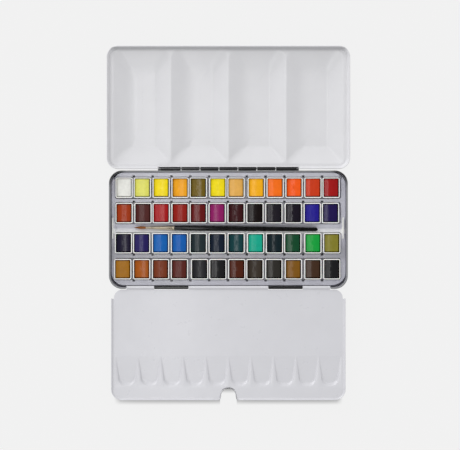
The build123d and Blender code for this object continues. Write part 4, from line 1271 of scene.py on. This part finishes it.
def make_flap():
    """Mixing flap: a plate with ten small wells, an edge that rises to a lip and then turns down, and a
    barrel rolled round the hinge's pin."""
    s = bpy.context.scene.paint_box_sizes
    f = finishes()
    top = FLAP_AXIS_Z + s.sheet / 2
    half, far = FLAP_HIGH[0], FLAP_LOW[1]
    near = TRAY_FRONT - FLAP_EDGE_GAP
    step = near - FLAP_FLANGE_START
    cup_front, cup_back = far + CUP_FRONT_BAND, far + CUP_FRONT_BAND + CUP_LENGTH
    band_front, band_back = cup_front - CELL_FRONT, cup_back + CELL_BACK
    shell = Shell()
    centres = (np.arange(CUP_COUNT) - (CUP_COUNT - 1) / 2) * CUP_PITCH
    for x in centres:
        cell = rounded_loop(x - CUP_PITCH / 2, x + CUP_PITCH / 2, band_front, band_back, (0,) * 4,
                            FLAP_ALONG, FLAP_UP, FLAP_ARC)
        flap_cup(shell, x, cup_front, cup_back, cell, top, s.cup)
    lip = flap_lip()
    flat_half = half + lip[0, 0]
    row_x = np.unique(np.round(np.concatenate([x + CUP_PITCH * (FLAP_ALONG - 0.5) for x in centres]), 9))
    margin = np.linspace(row_x[-1], flat_half, FLAP_MARGIN_POINTS)[1:]
    row_x = np.concatenate([-margin[::-1], row_x, margin])

    # Outline of the edge: corner arcs, the front edge and the notch, one point for each column
    corner = np.abs(row_x) > half - FLAP_CORNER
    inner = np.abs(row_x) < NOTCH_START
    turn = np.linspace(0, pi / 2, corner.sum() // 2)
    arc = np.column_stack([-(half - FLAP_CORNER) - FLAP_CORNER * np.cos(turn),
                           far + FLAP_CORNER - FLAP_CORNER * np.sin(turn)])
    straight = row_x[(row_x < -NOTCH_START) & ~corner]
    notch = finger_notch(far, inner.sum())
    left = np.concatenate([arc, np.column_stack([straight, np.full(len(straight), far)])])
    front = np.concatenate([left, notch, (left * [-1, 1])[::-1]])
    side_y = np.concatenate([np.linspace(step, band_back, FLAP_SIDE_POINTS)[:-1],
                             (band_back + (band_front - band_back) * FLAP_UP)[:-1],
                             band_front + (front[0, 1] - band_front) * FLAP_FRONT_STEPS[:-1]])
    side = np.column_stack([np.full(len(side_y), -half), side_y])
    path = np.concatenate([side, front, (side * [-1, 1])[::-1]])
    tangent = np.gradient(path, axis=0)
    tangent /= np.linalg.norm(tangent, axis=1, keepdims=True)
    away = np.column_stack([tangent[:, 1], -tangent[:, 0]])
    rounded = (np.abs(path[:, 0]) > half - FLAP_CORNER) & (path[:, 1] < far + FLAP_CORNER)
    scale = np.where(rounded, LIP_CORNER_SCALE, LIP_SCALE)
    scale[np.abs(path[:, 0]) < NOTCH_START - LIP_NOTCH_END] = LIP_NOTCH_SCALE
    scale = soften(scale, LIP_SOFTENING)
    root = path + away * (scale * lip[0, 0])[:, None]

    front_root = root[len(side):-len(side)]
    band_row = np.column_stack([row_x, np.full(len(row_x), band_front)])
    shell.grid([lifted(band_row + (front_root - band_row) * t, top) for t in FLAP_FRONT_STEPS], False)
    back_row = np.column_stack([row_x, np.full(len(row_x), band_back)])
    inside = flat_half - FLAP_NEAR_CORNER
    angle = np.clip((np.abs(row_x) - inside) / FLAP_NEAR_CORNER, 0, 1) * pi / 2
    near_row = np.column_stack([
        np.where(angle > 0, np.sign(row_x) * (inside + FLAP_NEAR_CORNER * np.sin(angle)), row_x),
        near - FLAP_NEAR_CORNER * (1 - np.cos(angle)),
    ])
    shell.grid([lifted(back_row + (near_row - back_row) * t, top) for t in FLAP_BACK_STEPS], False)
    margin_x = np.concatenate([[row_x[-len(margin) - 1]], margin])
    grid = np.empty((len(margin_x), len(FLAP_UP), 3))
    grid[..., 1] = band_front + (band_back - band_front) * FLAP_UP
    grid[..., 2] = top
    for sign in (-1, 1):
        grid[..., 0] = sign * margin_x[:, None]
        shell.grid(grid.copy(), False)

    rings = [lifted(path + away * (scale * d)[:, None], top + scale * rise) for d, rise in lip]
    rings += [lifted(path, top - FLANGE_BEND), lifted(path, top - s.flange)]
    shell.grid(rings, False)
    flap = shell.piece("flap_plate", [f["flap_white"], f["black"]], up=True)
    crisp(thicken(flap, s.sheet))
    place(flap, "flap", "white_lacquer", "mixing_flap")

    barrel = Shell()
    radius = BARREL_RADIUS - s.sheet / 2
    y, z = FLAP_AXIS_Y, FLAP_AXIS_Z
    leaf = [(near + d * MM, z + rise * MM) for d, rise in BARREL_LEAF]
    line = np.concatenate([leaf, arc_points(y, z, radius, *BARREL_ROLL)])
    gap = KNUCKLE_CLEARANCE
    ends = [-BARREL_HALF, FLAP_KNUCKLES[0][0] - gap, FLAP_KNUCKLES[0][1] + gap,
            FLAP_KNUCKLES[1][0] - gap, FLAP_KNUCKLES[1][1] + gap, BARREL_HALF]
    for x0, x1 in zip(ends[::2], ends[1::2]):
        rolled_strip(barrel, x0, x1, line, s.sheet)
    piece = barrel.piece("flap_barrel", [f["flap_white"]])
    place(crisp(piece), "flap", "white_lacquer")


def pan_boxes():
    """Boxes of the pans in the order of the pigments, read from the frame."""
    return [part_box(f"pan_{name}") for name, _, _ in PIGMENTS]


def make_rack():
    """Lift-out rack: a ledge with four long pockets, slots, the brush gutter, tongues and end tabs."""
    s = bpy.context.scene.paint_box_sizes
    f = finishes()
    top = s.ledge
    x0, x1, y0, y1 = RACK_LOW[0], RACK_HIGH[0], RACK_LOW[1], RACK_HIGH[1]
    shift = (x0 + x1) / 2
    boxes = pan_boxes()
    rows = [boxes[i:i + PANS_IN_ROW] for i in range(0, len(boxes), PANS_IN_ROW)]
    centres = [sum(low[1] + high[1] for low, high in row) / (2 * len(row)) for row in rows]
    edge_two, edge_three = centres[1] - POCKET_WIDE - POCKET_LIP, centres[2] + POCKET_WIDE + POCKET_LIP
    bounds = [(centres[0] + centres[1]) / 2, (centres[2] + centres[3]) / 2]
    cells_y = [(bounds[0], y1), (edge_two, bounds[0]), (bounds[1], edge_three), (y0, bounds[1])]
    gaps = shift + (np.arange(1, PANS_IN_ROW) - PANS_IN_ROW / 2) * PAN_PITCH
    ends = POCKET_LONG - np.array(END_COLUMNS) * MM
    lines = np.concatenate([gaps - SLOT_HALF, gaps + SLOT_HALF, shift - ends, shift + ends])

    def along(start, end):
        return np.concatenate([[0], np.sort(np.clip((lines - start) / (end - start), 0, 1)), [1]])

    up, arc = RACK_UP, RACK_ARC
    shell = Shell()
    cells = []
    for i, (low, high) in enumerate(cells_y):
        bottom, upper = RACK_CORNER * (i == 3), RACK_CORNER * (i == 0)
        side = ROW_SIDES[i]

        def loop_at(d, slot=0.0):
            radius = max(POCKET_CORNER - d, POCKET_CORNER_LEAST)
            front = centres[i] - POCKET_WIDE + d - slot * (side < 0)
            back = centres[i] + POCKET_WIDE - d + slot * (side > 0)
            return rounded_loop(shift - POCKET_LONG + d, shift + POCKET_LONG - d, front, back,
                                (radius,) * 4, along, up, arc)

        def keep(middle):
            gap = np.abs(middle[:, :1] - gaps).min(1) < SLOT_HALF
            reach = side * (middle[:, 1] - centres[i]) - POCKET_WIDE
            return ~(gap & (reach > -SLOT_START) & (reach < SLOT_DEPTH) & (middle[:, 2] > SLOT_FLOOR))

        cell = rounded_loop(x0, x1, low, high, (bottom, bottom, upper, upper), along, up, arc)
        rings = [lifted(cell, top), lifted(loop_at(-POCKET_EDGE, SLOT_DEPTH - POCKET_EDGE), top)]
        rings += [lifted(loop_at(d * MM), z * MM) for d, z in POCKET_SECTION]
        shell.grid(rings + closing(rings[-1], POCKET_FLOOR_STEPS), True, 0, keep)
        cells.append(cell)

    gutter_x = x0 + (x1 - x0) * along(x0, x1)
    middle, half = (edge_two + edge_three) / 2, (edge_two - edge_three) / 2
    turn = np.linspace(0, pi, GUTTER_POINTS)
    inside = np.clip((ends[0] - np.abs(gutter_x - shift)) / GUTTER_END, 0, 1)
    gutter = np.empty((len(turn), len(gutter_x), 3))
    gutter[..., 0] = gutter_x
    gutter[..., 1] = middle + half * np.cos(turn)[:, None]
    gutter[..., 2] = top - s.gutter * np.sin(turn)[:, None] * np.sqrt(inside)
    shell.grid(gutter, False)

    # Outline of the whole ledge, from the cells' outer sides, and its turned-down edge
    n, m, c = len(gutter_x), len(up), arc - 1
    right = slice(n + c, n + c + m)
    left = slice(2 * n + 3 * c + m, 2 * n + 3 * c + 2 * m)
    outline = [cells[3][:n + c], cells[3][right], cells[2][right], gutter[::-1, -1, :2], cells[1][right]]
    outline += [cells[0][n + c:2 * n + 3 * c + 2 * m], cells[1][left], gutter[:, 0, :2], cells[2][left]]
    outline += [cells[3][left], cells[3][2 * n + 3 * c + 2 * m:]]
    outline = without_doubles(np.concatenate(outline))
    away = outward(outline, (x0, y0), (x1, y1), RACK_CORNER)
    open_side = (away[:, 0] < -FACES_LEFT) & (np.abs(outline[:, 1] - middle) < TAB_HALF + TAB_GAP)
    spread = np.where(away[:, 0] < 0, LEDGE_LEFT * ~open_side, LEDGE_RIGHT)
    reach = away * np.column_stack([spread, np.full(len(outline), LEDGE_FRONT)])
    shell.grid([lifted(outline + reach * share, top - drop * MM) for share, drop in LEDGE_SECTION], True)
    rack = shell.piece("rack_sheet", [f["rack_white"], f["black"]], up=True)
    crisp(thicken(rack, s.rack_sheet))
    place(rack, "rack", "white_lacquer", "pan_rack")

    tongues = Shell()
    u = TONGUE_ARC
    foot, thick = POCKET_SECTION[-1][1] * MM - s.rack_sheet, s.rack_sheet / 2
    height = foot + TONGUE_HEIGHT + TONGUE_HALF * np.sqrt(1 - u ** 2)
    for row, side in zip(centres, ROW_SIDES):
        y = row + side * TONGUE_PLACE + TONGUE_HALF * u
        for x in gaps:
            corners = [(x - thick, None), (x - thick, height), (x + thick, height), (x + thick, None)]
            grid = np.stack([lifted(np.column_stack([np.full(len(u), cx), y]), foot if cz is None else cz)
                             for cx, cz in corners], 1)
            tongues.grid(grid, True)
            for end in (0, -1):
                tongues.grid([grid[end, :2], grid[end, :1:-1]], False)
    piece = tongues.piece("pan_tongues", [f["edge_white"]])
    place(crisp(piece), "rack", "white_lacquer")

    tabs = Shell()
    steps, heights = np.array(TAB_SECTION).T[:, :, None]
    drop = TAB_ROUND_DROP * np.maximum(0, np.abs(TAB_ACROSS) - TAB_ROUND_START) / TAB_ROUND_WIDTH
    grid = np.empty((len(steps), len(TAB_ACROSS), 3))
    grid[..., 1] = middle + TAB_HALF * TAB_ACROSS
    grid[..., 2] = np.minimum(heights, TAB_TOP - drop) * MM
    for foot_x, inwards in ((x0 - TAB_OUT[0], 1), (x1 + TAB_OUT[1], -1)):
        grid[..., 0] = foot_x + inwards * steps * MM
        tabs.grid(grid.copy(), False)
    piece = tabs.piece("rack_tabs", [f["edge_white"], f["edge_white"]])
    crisp(thicken(piece, s.rack_sheet))
    place(piece, "rack", "white_lacquer")


def pan_loop(centre, half, inset, radius):
    """Outline of a cup or a cake: its box made smaller by an inset, with round corners, in millimetres."""
    low, high = centre - half + inset * MM, centre + half - inset * MM
    return rounded_loop(low[0], high[0], low[1], high[1], (radius * MM,) * 4, PAN_ALONG, PAN_UP, PAN_ARC)


def make_pans():
    """Half pans: a cup and a cake of dried paint for each pigment."""
    random = np.random.default_rng(PAN_SEED)
    for (name, rgb, gloss), box in zip(PIGMENTS, pan_boxes()):
        low, high = (np.array(corner[:2]) for corner in box)
        centre, half = (low + high) / 2, (high - low) / 2
        paint = dried_paint(f"paint_{name}", linear(rgb), gloss)
        make_cup(name, centre, half, paint)
        make_cake(name, centre, half, paint, random)


def make_cup(name, centre, half, paint):
    """Moulded cup: its section is carried round its outline, outside, over the rim and down inside."""
    rings = [lifted(pan_loop(centre, half, d, max(PAN_CORNER - d, PAN_CORNER_LEAST)), z * MM)
             for d, z in PAN_SECTION]
    shell = Shell()
    shell.grid(closing(rings[0], CLOSING_STEPS)[::-1] + rings[:PAN_STAIN_AND_SHADE + 1], True)
    shell.grid(rings[PAN_STAIN_AND_SHADE:] + closing(rings[-1], CLOSING_STEPS), True, 1)
    cup = shell.piece(f"cup_{name}", [finishes()["plastic"], paint])
    # Every point counts as full, so the stained inside is dark with painted shade as well as stain
    mark_pool_and_shade(cup, np.ones(len(cup.data.vertices)))
    place(crisp(cup, SHARP_MOULDED), f"pan_{name}", "pan_plastic", f"pan_{name}")


def make_cake(name, centre, half, paint, random):
    """Cake that shrank as it dried and lies a little to the upper left of its cup. From its level it
    falls by dome times (u - ridge) squared and by a share of v to the fourth, and at its edge by a
    curve of e^(-w / width). Three sine waves ripple it. u and v go from -1 to 1 across and along it."""
    drift = np.array([random.uniform(*CAKE_DRIFT_X), random.uniform(*CAKE_DRIFT_Y)]) * MM
    inset = CAKE_INSET + random.uniform(*CAKE_SHRINKAGE)
    level = CAKE_LEVEL + random.uniform(*CAKE_LEVELS)
    dome, ridge = random.uniform(*CAKE_DOME), random.uniform(*CAKE_RIDGE)
    phase = random.uniform(0, 2 * pi, len(CAKE_WAVES))
    height = random.uniform(*CAKE_RIPPLE) * CAKE_RIPPLE_HEIGHT
    middle, reach = centre + drift, half - inset * MM
    base = pan_loop(middle, half, inset + CAKE_BASE_INSET, CAKE_BASE_CORNER)
    side = pan_loop(middle, half, inset + CAKE_SIDE_INSET, CAKE_CORNER)
    rings = [lifted(spine_of(base), CAKE_BASE * MM), lifted(base, CAKE_BASE * MM),
             lifted(side, (level - CAKE_SIDE_DROP) * MM)]
    for w in CAKE_STEPS:
        ring = pan_loop(middle, half, inset + w, max(CAKE_CORNER - w, CAKE_CORNER_LEAST))
        u, v = ((ring - middle) / reach).T
        swell = dome * (u - ridge) ** 2 + CAKE_END_FALL * v ** 4
        waves = [np.sin(k * along + start) for k, along, start in zip(CAKE_WAVES, (u, u, v), phase)]
        ripple = height * (waves[0] + CAKE_SMALL_WAVE * waves[1] + waves[2])
        edge = CAKE_EDGE_FALL * np.exp(-w / CAKE_EDGE_WIDTH)
        rings.append(lifted(ring, (level - swell + ripple - edge) * MM))
    rings.append(lifted(spine_of(rings[-1][:, :2]), rings[-1][:, 2]))
    cake = Shell()
    cake.grid(rings, True)
    piece = cake.piece(f"cake_{name}", [paint], fuse=FUSE_CAKE)
    mark_wall(piece, middle, reach, level)
    place(crisp(piece, SHARP_ROUND), f"pan_{name}", f"paint_{name}")


def mark_wall(piece, middle, half, level):
    """Marks how near each point is to the pan's wall, from 0 in the open to 1 at the wall."""
    points = np.empty(len(piece.data.vertices) * 3)
    piece.data.vertices.foreach_get("co", points)
    points = points.reshape(-1, 3)
    gap = (half - np.abs(points[:, :2] - middle)).min(1) / CAKE_WALL
    near = np.clip(1 - gap, 0, 1)
    near = np.where(points[:, 2] < (level - CAKE_BELOW) * MM, 1.0, near)
    mark_pool_and_shade(piece, near)


def mark_pool_and_shade(piece, values):
    """Keeps on each point how much paint pooled there and how much painted shade lies there, for the paint's
    material to read.
    """
    attribute = piece.data.attributes.new("pool", "FLOAT", "POINT")
    attribute.data.foreach_set("value", values.astype(np.float32))


def make_brush():
    """Round brush: a tuft, a ferrule and a handle on one line, which runs through the middles of the
    hair and the ferrule."""
    hair, ferrule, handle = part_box("brush_hair"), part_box("brush_ferrule"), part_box("brush_handle")
    tip, bind, join, end = hair[0][0], ferrule[0][0], ferrule[1][0], handle[1][0]
    z = (handle[0][2] + handle[1][2]) / 2
    tuft_x, tuft_y = (tip + bind) / 2, (hair[0][1] + hair[1][1]) / 2
    slope = ((ferrule[0][1] + ferrule[1][1]) / 2 - tuft_y) / ((bind + join) / 2 - tuft_x)

    def middle(x):
        return tuft_y + slope * (x - tuft_x), np.full(len(x), z)

    make_tuft(tip, bind, middle)
    make_ferrule(bind, join, middle)
    make_handle(join, end, middle)


def make_tuft(tip, bind, middle):
    """Tuft: a turned core under single hairs. Each hair is a thin tapered tube that follows the belly
    at its own share of the radius and turns a little round the middle line."""
    tuft = Shell()
    length = bind - tip
    core = bind - HAIR_SHARES * length * CORE_LENGTH
    turned(tuft, [bind + HAIR_ROOT, *core, tip + CORE_TIP * length], [0, *HAIR_RADII * CORE_RADIUS, 0],
           middle, CORE_POINTS)
    angle = np.linspace(0, 2 * pi, HAIR_SIDES, endpoint=False)
    ring = np.stack([np.zeros(HAIR_SIDES), np.cos(angle), np.sin(angle)], 1)
    thick = HAIR_THICK * (1 - HAIR_TAPER * HAIR_STEPS)
    random = np.random.default_rng(HAIR_SEED)
    for _ in range(HAIR_COUNT):
        share = np.sqrt(random.uniform(*HAIR_SPREAD))
        around = random.uniform(0, 2 * pi)
        reach = random.uniform(*HAIR_REACH)
        twist = random.uniform(*HAIR_TWIST)
        radius = np.interp(HAIR_STEPS * reach, HAIR_SHARES, HAIR_RADII) * share
        turn = around + twist * HAIR_STEPS
        x = bind - HAIR_STEPS * reach * length
        cy, cz = middle(x)
        centre = np.column_stack([x, cy + radius * np.cos(turn), cz + radius * np.sin(turn)])[:, None]
        root, end = (np.repeat(part, HAIR_SIDES, 1) for part in (centre[:1], centre[-1:]))
        tuft.grid(np.concatenate([root, centre + ring * thick[:, None, None], end]), True)
    piece = tuft.piece("hair_tuft", [finishes()["hair"]], fuse=FUSE_HAIR)
    place(crisp(piece, SHARP_ROUND), "brush", "hair", "brush_hair")


def make_ferrule(bind, join, middle):
    """Crimped ferrule: a cone with two dents, each its depth times e^(-(distance / width) squared)."""
    share = FERRULE_SHARES
    radius = FERRULE_THIN + (FERRULE_WIDE - FERRULE_THIN) * share
    dents = [CRIMP_DEPTH * np.exp(-((share - at) / CRIMP_WIDTH) ** 2) for at in CRIMPS]
    radius = (radius - np.maximum(*dents)) * MM
    radius[1] = FERRULE_LIP
    radius[[0, -1]] = 0
    ferrule = Shell()
    turned(ferrule, bind + share * (join - bind), radius, middle, TURNED_POINTS)
    piece = ferrule.piece("ferrule", [finishes()["ferrule"]])
    place(crisp(piece, SHARP_MOULDED), "brush", "ferrule_metal", "brush_ferrule")


def make_handle(join, end, middle):
    """Lacquered handle: a smoothed profile, closed by a quarter circle at its end."""
    length = end - join
    x = np.linspace(0, length - HANDLE_NOSE, HANDLE_POINTS)
    shape = soften(np.interp(x / length, HANDLE_SHARES, HANDLE_RADII), HANDLE_SOFTENING)
    cap = np.linspace(0, pi / 2, HANDLE_NOSE_POINTS)[1:]
    x = np.concatenate([[0], x, length - HANDLE_NOSE + HANDLE_NOSE * np.sin(cap)])
    radius = np.concatenate([[0], shape * MM, HANDLE_NOSE * np.cos(cap)])
    handle = Shell()
    turned(handle, join + x, radius, middle, TURNED_POINTS)
    piece = handle.piece("handle", [finishes()["handle"]])
    place(crisp(piece, SHARP_MOULDED), "brush", "handle_lacquer", "brush_handle")


def refinish(name, material):
    """Gives a piece that keeps its CAD shape one of the shared finishes."""
    materials = frame["nodes"][name].data.materials
    materials.clear()
    materials.append(material)


def make_fittings():
    """Hinge pins and strap keep their CAD shape. The thumb ring gets a round wire: a circle carried
    along a path, which is an arc closed by a straight bar on the ring's axis."""
    f = finishes()
    refinish("lid_hinge_pin", f["steel"])
    refinish("flap_hinge_pin", f["steel"])
    refinish("ring_strap", f["black"])
    low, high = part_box("thumb_ring")
    radius = (high[0] - low[0]) / 2 - RING_WIRE
    drop = np.sqrt(radius ** 2 - RING_BAR ** 2)
    opening = np.arctan2(drop, RING_BAR)
    sweep = np.linspace(opening, -pi - opening, RING_POINTS)
    loop = np.column_stack([radius * np.cos(sweep), RING_AXIS_Y - drop + radius * np.sin(sweep)])
    bar = run(loop[-1], loop[0], np.linspace(0, 1, RING_BAR_POINTS))[1:-1]
    path = np.concatenate([loop, bar])
    tangent = np.roll(path, -1, 0) - np.roll(path, 1, 0)
    tangent /= np.linalg.norm(tangent, axis=1, keepdims=True)
    normal = np.column_stack([tangent[:, 1], -tangent[:, 0]])
    around = np.linspace(0, 2 * pi, RING_SIDES, endpoint=False)
    grid = np.empty((len(path), len(around), 3))
    grid[..., :2] = path[:, None] + normal[:, None] * (RING_WIRE * np.cos(around))[None, :, None]
    grid[..., 2] = RING_AXIS_Z + RING_WIRE * np.sin(around)
    shell = Shell()
    shell.grid(np.concatenate([grid, grid[:1]]), True)
    piece = shell.piece("ring_wire", [f["black"]])
    place(crisp(piece, SHARP_ROUND), "ring", "black_lacquer", "thumb_ring")


# Stage

def make_stage():
    """Pale table, soft daylight from the upper left and a camera looking straight down."""
    scene = bpy.context.scene
    floor = tuple(scene.paint_box_finishes.floor)
    make_table(scene, floor)
    make_daylight(scene, floor)
    make_lamps(scene)
    make_camera(scene)
    scene.view_settings.view_transform = "Standard"


def make_table(scene, floor):
    """A large flat table right under the part's foot."""
    mesh = bpy.data.meshes.new("table")
    corners = [(x * TABLE_HALF, y * TABLE_HALF, 0) for x, y in ((-1, -1), (1, -1), (1, 1), (-1, 1))]
    mesh.from_pydata(corners, [], [(0, 1, 2, 3)])
    table = bpy.data.objects.new("table", mesh)
    table.location = (0, 0, -TABLE_DROP)
    scene.collection.objects.link(table)
    mesh.materials.append(table_finish(floor))


def make_daylight(scene, floor):
    """White sky that is weaker in the gloss. Seen directly, it is the table's own pale colour, so no
    horizon shows."""
    world = bpy.data.worlds.new("daylight")
    world.use_nodes = True
    tree = world.node_tree
    sky = tree.nodes["Background"]
    sky.inputs["Color"].default_value = (1, 1, 1, 1)
    path = tree.nodes.new("ShaderNodeLightPath")
    strength = tree.nodes.new("ShaderNodeMapRange")
    strength.inputs["To Min"].default_value = WORLD_LIGHT
    strength.inputs["To Max"].default_value = WORLD_SHEEN
    tree.links.new(path.outputs["Is Glossy Ray"], strength.inputs["Value"])
    tree.links.new(strength.outputs["Result"], sky.inputs["Strength"])
    backdrop = tree.nodes.new("ShaderNodeBackground")
    backdrop.inputs["Color"].default_value = (*floor, 1)
    seen = tree.nodes.new("ShaderNodeMixShader")
    tree.links.new(path.outputs["Is Camera Ray"], seen.inputs["Fac"])
    tree.links.new(sky.outputs["Background"], seen.inputs[1])
    tree.links.new(backdrop.outputs["Background"], seen.inputs[2])
    tree.links.new(seen.outputs[0], tree.nodes["World Output"].inputs["Surface"])
    scene.world = world


def make_lamps(scene):
    """A wide sun as the window's light, and softboxes that only the gloss shows."""
    sun = bpy.data.lights.new("window", "SUN")
    sun.energy = SUN_LIGHT
    sun.angle = radians(SUN_SPREAD)
    lamp = bpy.data.objects.new("window", sun)
    point_at(lamp, SUN_DIRECTION)
    scene.collection.objects.link(lamp)
    for number, (spot, size, power) in enumerate(SOFTBOXES):
        strip = bpy.data.lights.new(f"softbox_{number}", "AREA")
        strip.shape = "RECTANGLE"
        strip.size, strip.size_y = size
        strip.energy = power
        box = bpy.data.objects.new(f"softbox_{number}", strip)
        box.location = spot
        box.visible_diffuse = False
        scene.collection.objects.link(box)


def make_camera(scene):
    """A camera over the middle of the open box."""
    camera_data = bpy.data.cameras.new("camera")
    camera_data.lens = CAMERA_LENS
    camera = bpy.data.objects.new("camera", camera_data)
    camera.location = CAMERA_PLACE
    scene.collection.objects.link(camera)
    scene.camera = camera


def point_at(thing, direction):
    """Turns a lamp so that it shines from a direction towards the origin."""
    thing.rotation_mode = "QUATERNION"
    thing.rotation_quaternion = Vector(direction).to_track_quat("Z", "Y")


# Operators

class PAINTBOX_OT_tray(bpy.types.Operator):
    """Make the pressed tray and its hinge knuckles"""

    bl_idname = "paintbox.tray"
    bl_label = "Tray"

    def execute(self, context):
        make_tray()
        return {"FINISHED"}


class PAINTBOX_OT_lid(bpy.types.Operator):
    """Make the mixing lid with its four wells"""

    bl_idname = "paintbox.lid"
    bl_label = "Lid"

    def execute(self, context):
        make_lid()
        return {"FINISHED"}


class PAINTBOX_OT_flap(bpy.types.Operator):
    """Make the mixing flap with its ten small wells"""

    bl_idname = "paintbox.flap"
    bl_label = "Mixing Flap"

    def execute(self, context):
        make_flap()
        return {"FINISHED"}


class PAINTBOX_OT_rack(bpy.types.Operator):
    """Make the lift-out rack, its tongues and tabs"""

    bl_idname = "paintbox.rack"
    bl_label = "Pan Rack"

    def execute(self, context):
        make_rack()
        return {"FINISHED"}


class PAINTBOX_OT_pans(bpy.types.Operator):
    """Make the half pans and their cakes of paint"""

    bl_idname = "paintbox.pans"
    bl_label = "Half Pans"

    def execute(self, context):
        make_pans()
        return {"FINISHED"}


class PAINTBOX_OT_brush(bpy.types.Operator):
    """Make the brush"""

    bl_idname = "paintbox.brush"
    bl_label = "Brush"

    def execute(self, context):
        make_brush()
        return {"FINISHED"}


class PAINTBOX_OT_fittings(bpy.types.Operator):
    """Finish the hinge pins, the thumb ring and its strap"""

    bl_idname = "paintbox.fittings"
    bl_label = "Fittings"

    def execute(self, context):
        make_fittings()
        return {"FINISHED"}


class PAINTBOX_OT_stage(bpy.types.Operator):
    """Set the table, the light and the camera"""

    bl_idname = "paintbox.stage"
    bl_label = "Stage"

    def execute(self, context):
        make_stage()
        return {"FINISHED"}


OPERATORS = (
    PAINTBOX_OT_stage, PAINTBOX_OT_tray, PAINTBOX_OT_lid, PAINTBOX_OT_flap, PAINTBOX_OT_rack,
    PAINTBOX_OT_pans, PAINTBOX_OT_brush, PAINTBOX_OT_fittings,
)


class PAINTBOX_PT_panel(bpy.types.Panel):
    """Buttons for each group of pieces, with their settings"""

    bl_idname = "PAINTBOX_PT_panel"
    bl_label = "Paint Box"
    bl_space_type = "VIEW_3D"
    bl_region_type = "UI"
    bl_category = "Paint Box"

    def draw(self, context):
        layout = self.layout
        for operator in OPERATORS:
            layout.operator(operator.bl_idname)
        for group in (context.scene.paint_box_sizes, context.scene.paint_box_finishes):
            box = layout.box()
            for key in group.__annotations__:
                box.prop(group, key)


CLASSES = (PaintBoxSizes, PaintBoxFinishes, *OPERATORS, PAINTBOX_PT_panel)


def register():
    """Registers the settings, the operators and the panel, and adds the settings to the scene."""
    for cls in CLASSES:
        bpy.utils.register_class(cls)
    bpy.types.Scene.paint_box_sizes = bpy.props.PointerProperty(type=PaintBoxSizes)
    bpy.types.Scene.paint_box_finishes = bpy.props.PointerProperty(type=PaintBoxFinishes)


def unregister():
    """Takes away what register added."""
    del bpy.types.Scene.paint_box_finishes
    del bpy.types.Scene.paint_box_sizes
    for cls in reversed(CLASSES):
        bpy.utils.unregister_class(cls)


def main():
    """Makes every piece in turn."""
    register()
    bpy.ops.paintbox.stage()
    bpy.ops.paintbox.tray()
    bpy.ops.paintbox.lid()
    bpy.ops.paintbox.flap()
    bpy.ops.paintbox.rack()
    bpy.ops.paintbox.pans()
    bpy.ops.paintbox.brush()
    bpy.ops.paintbox.fittings()


if __name__ == "__main__":
    main()
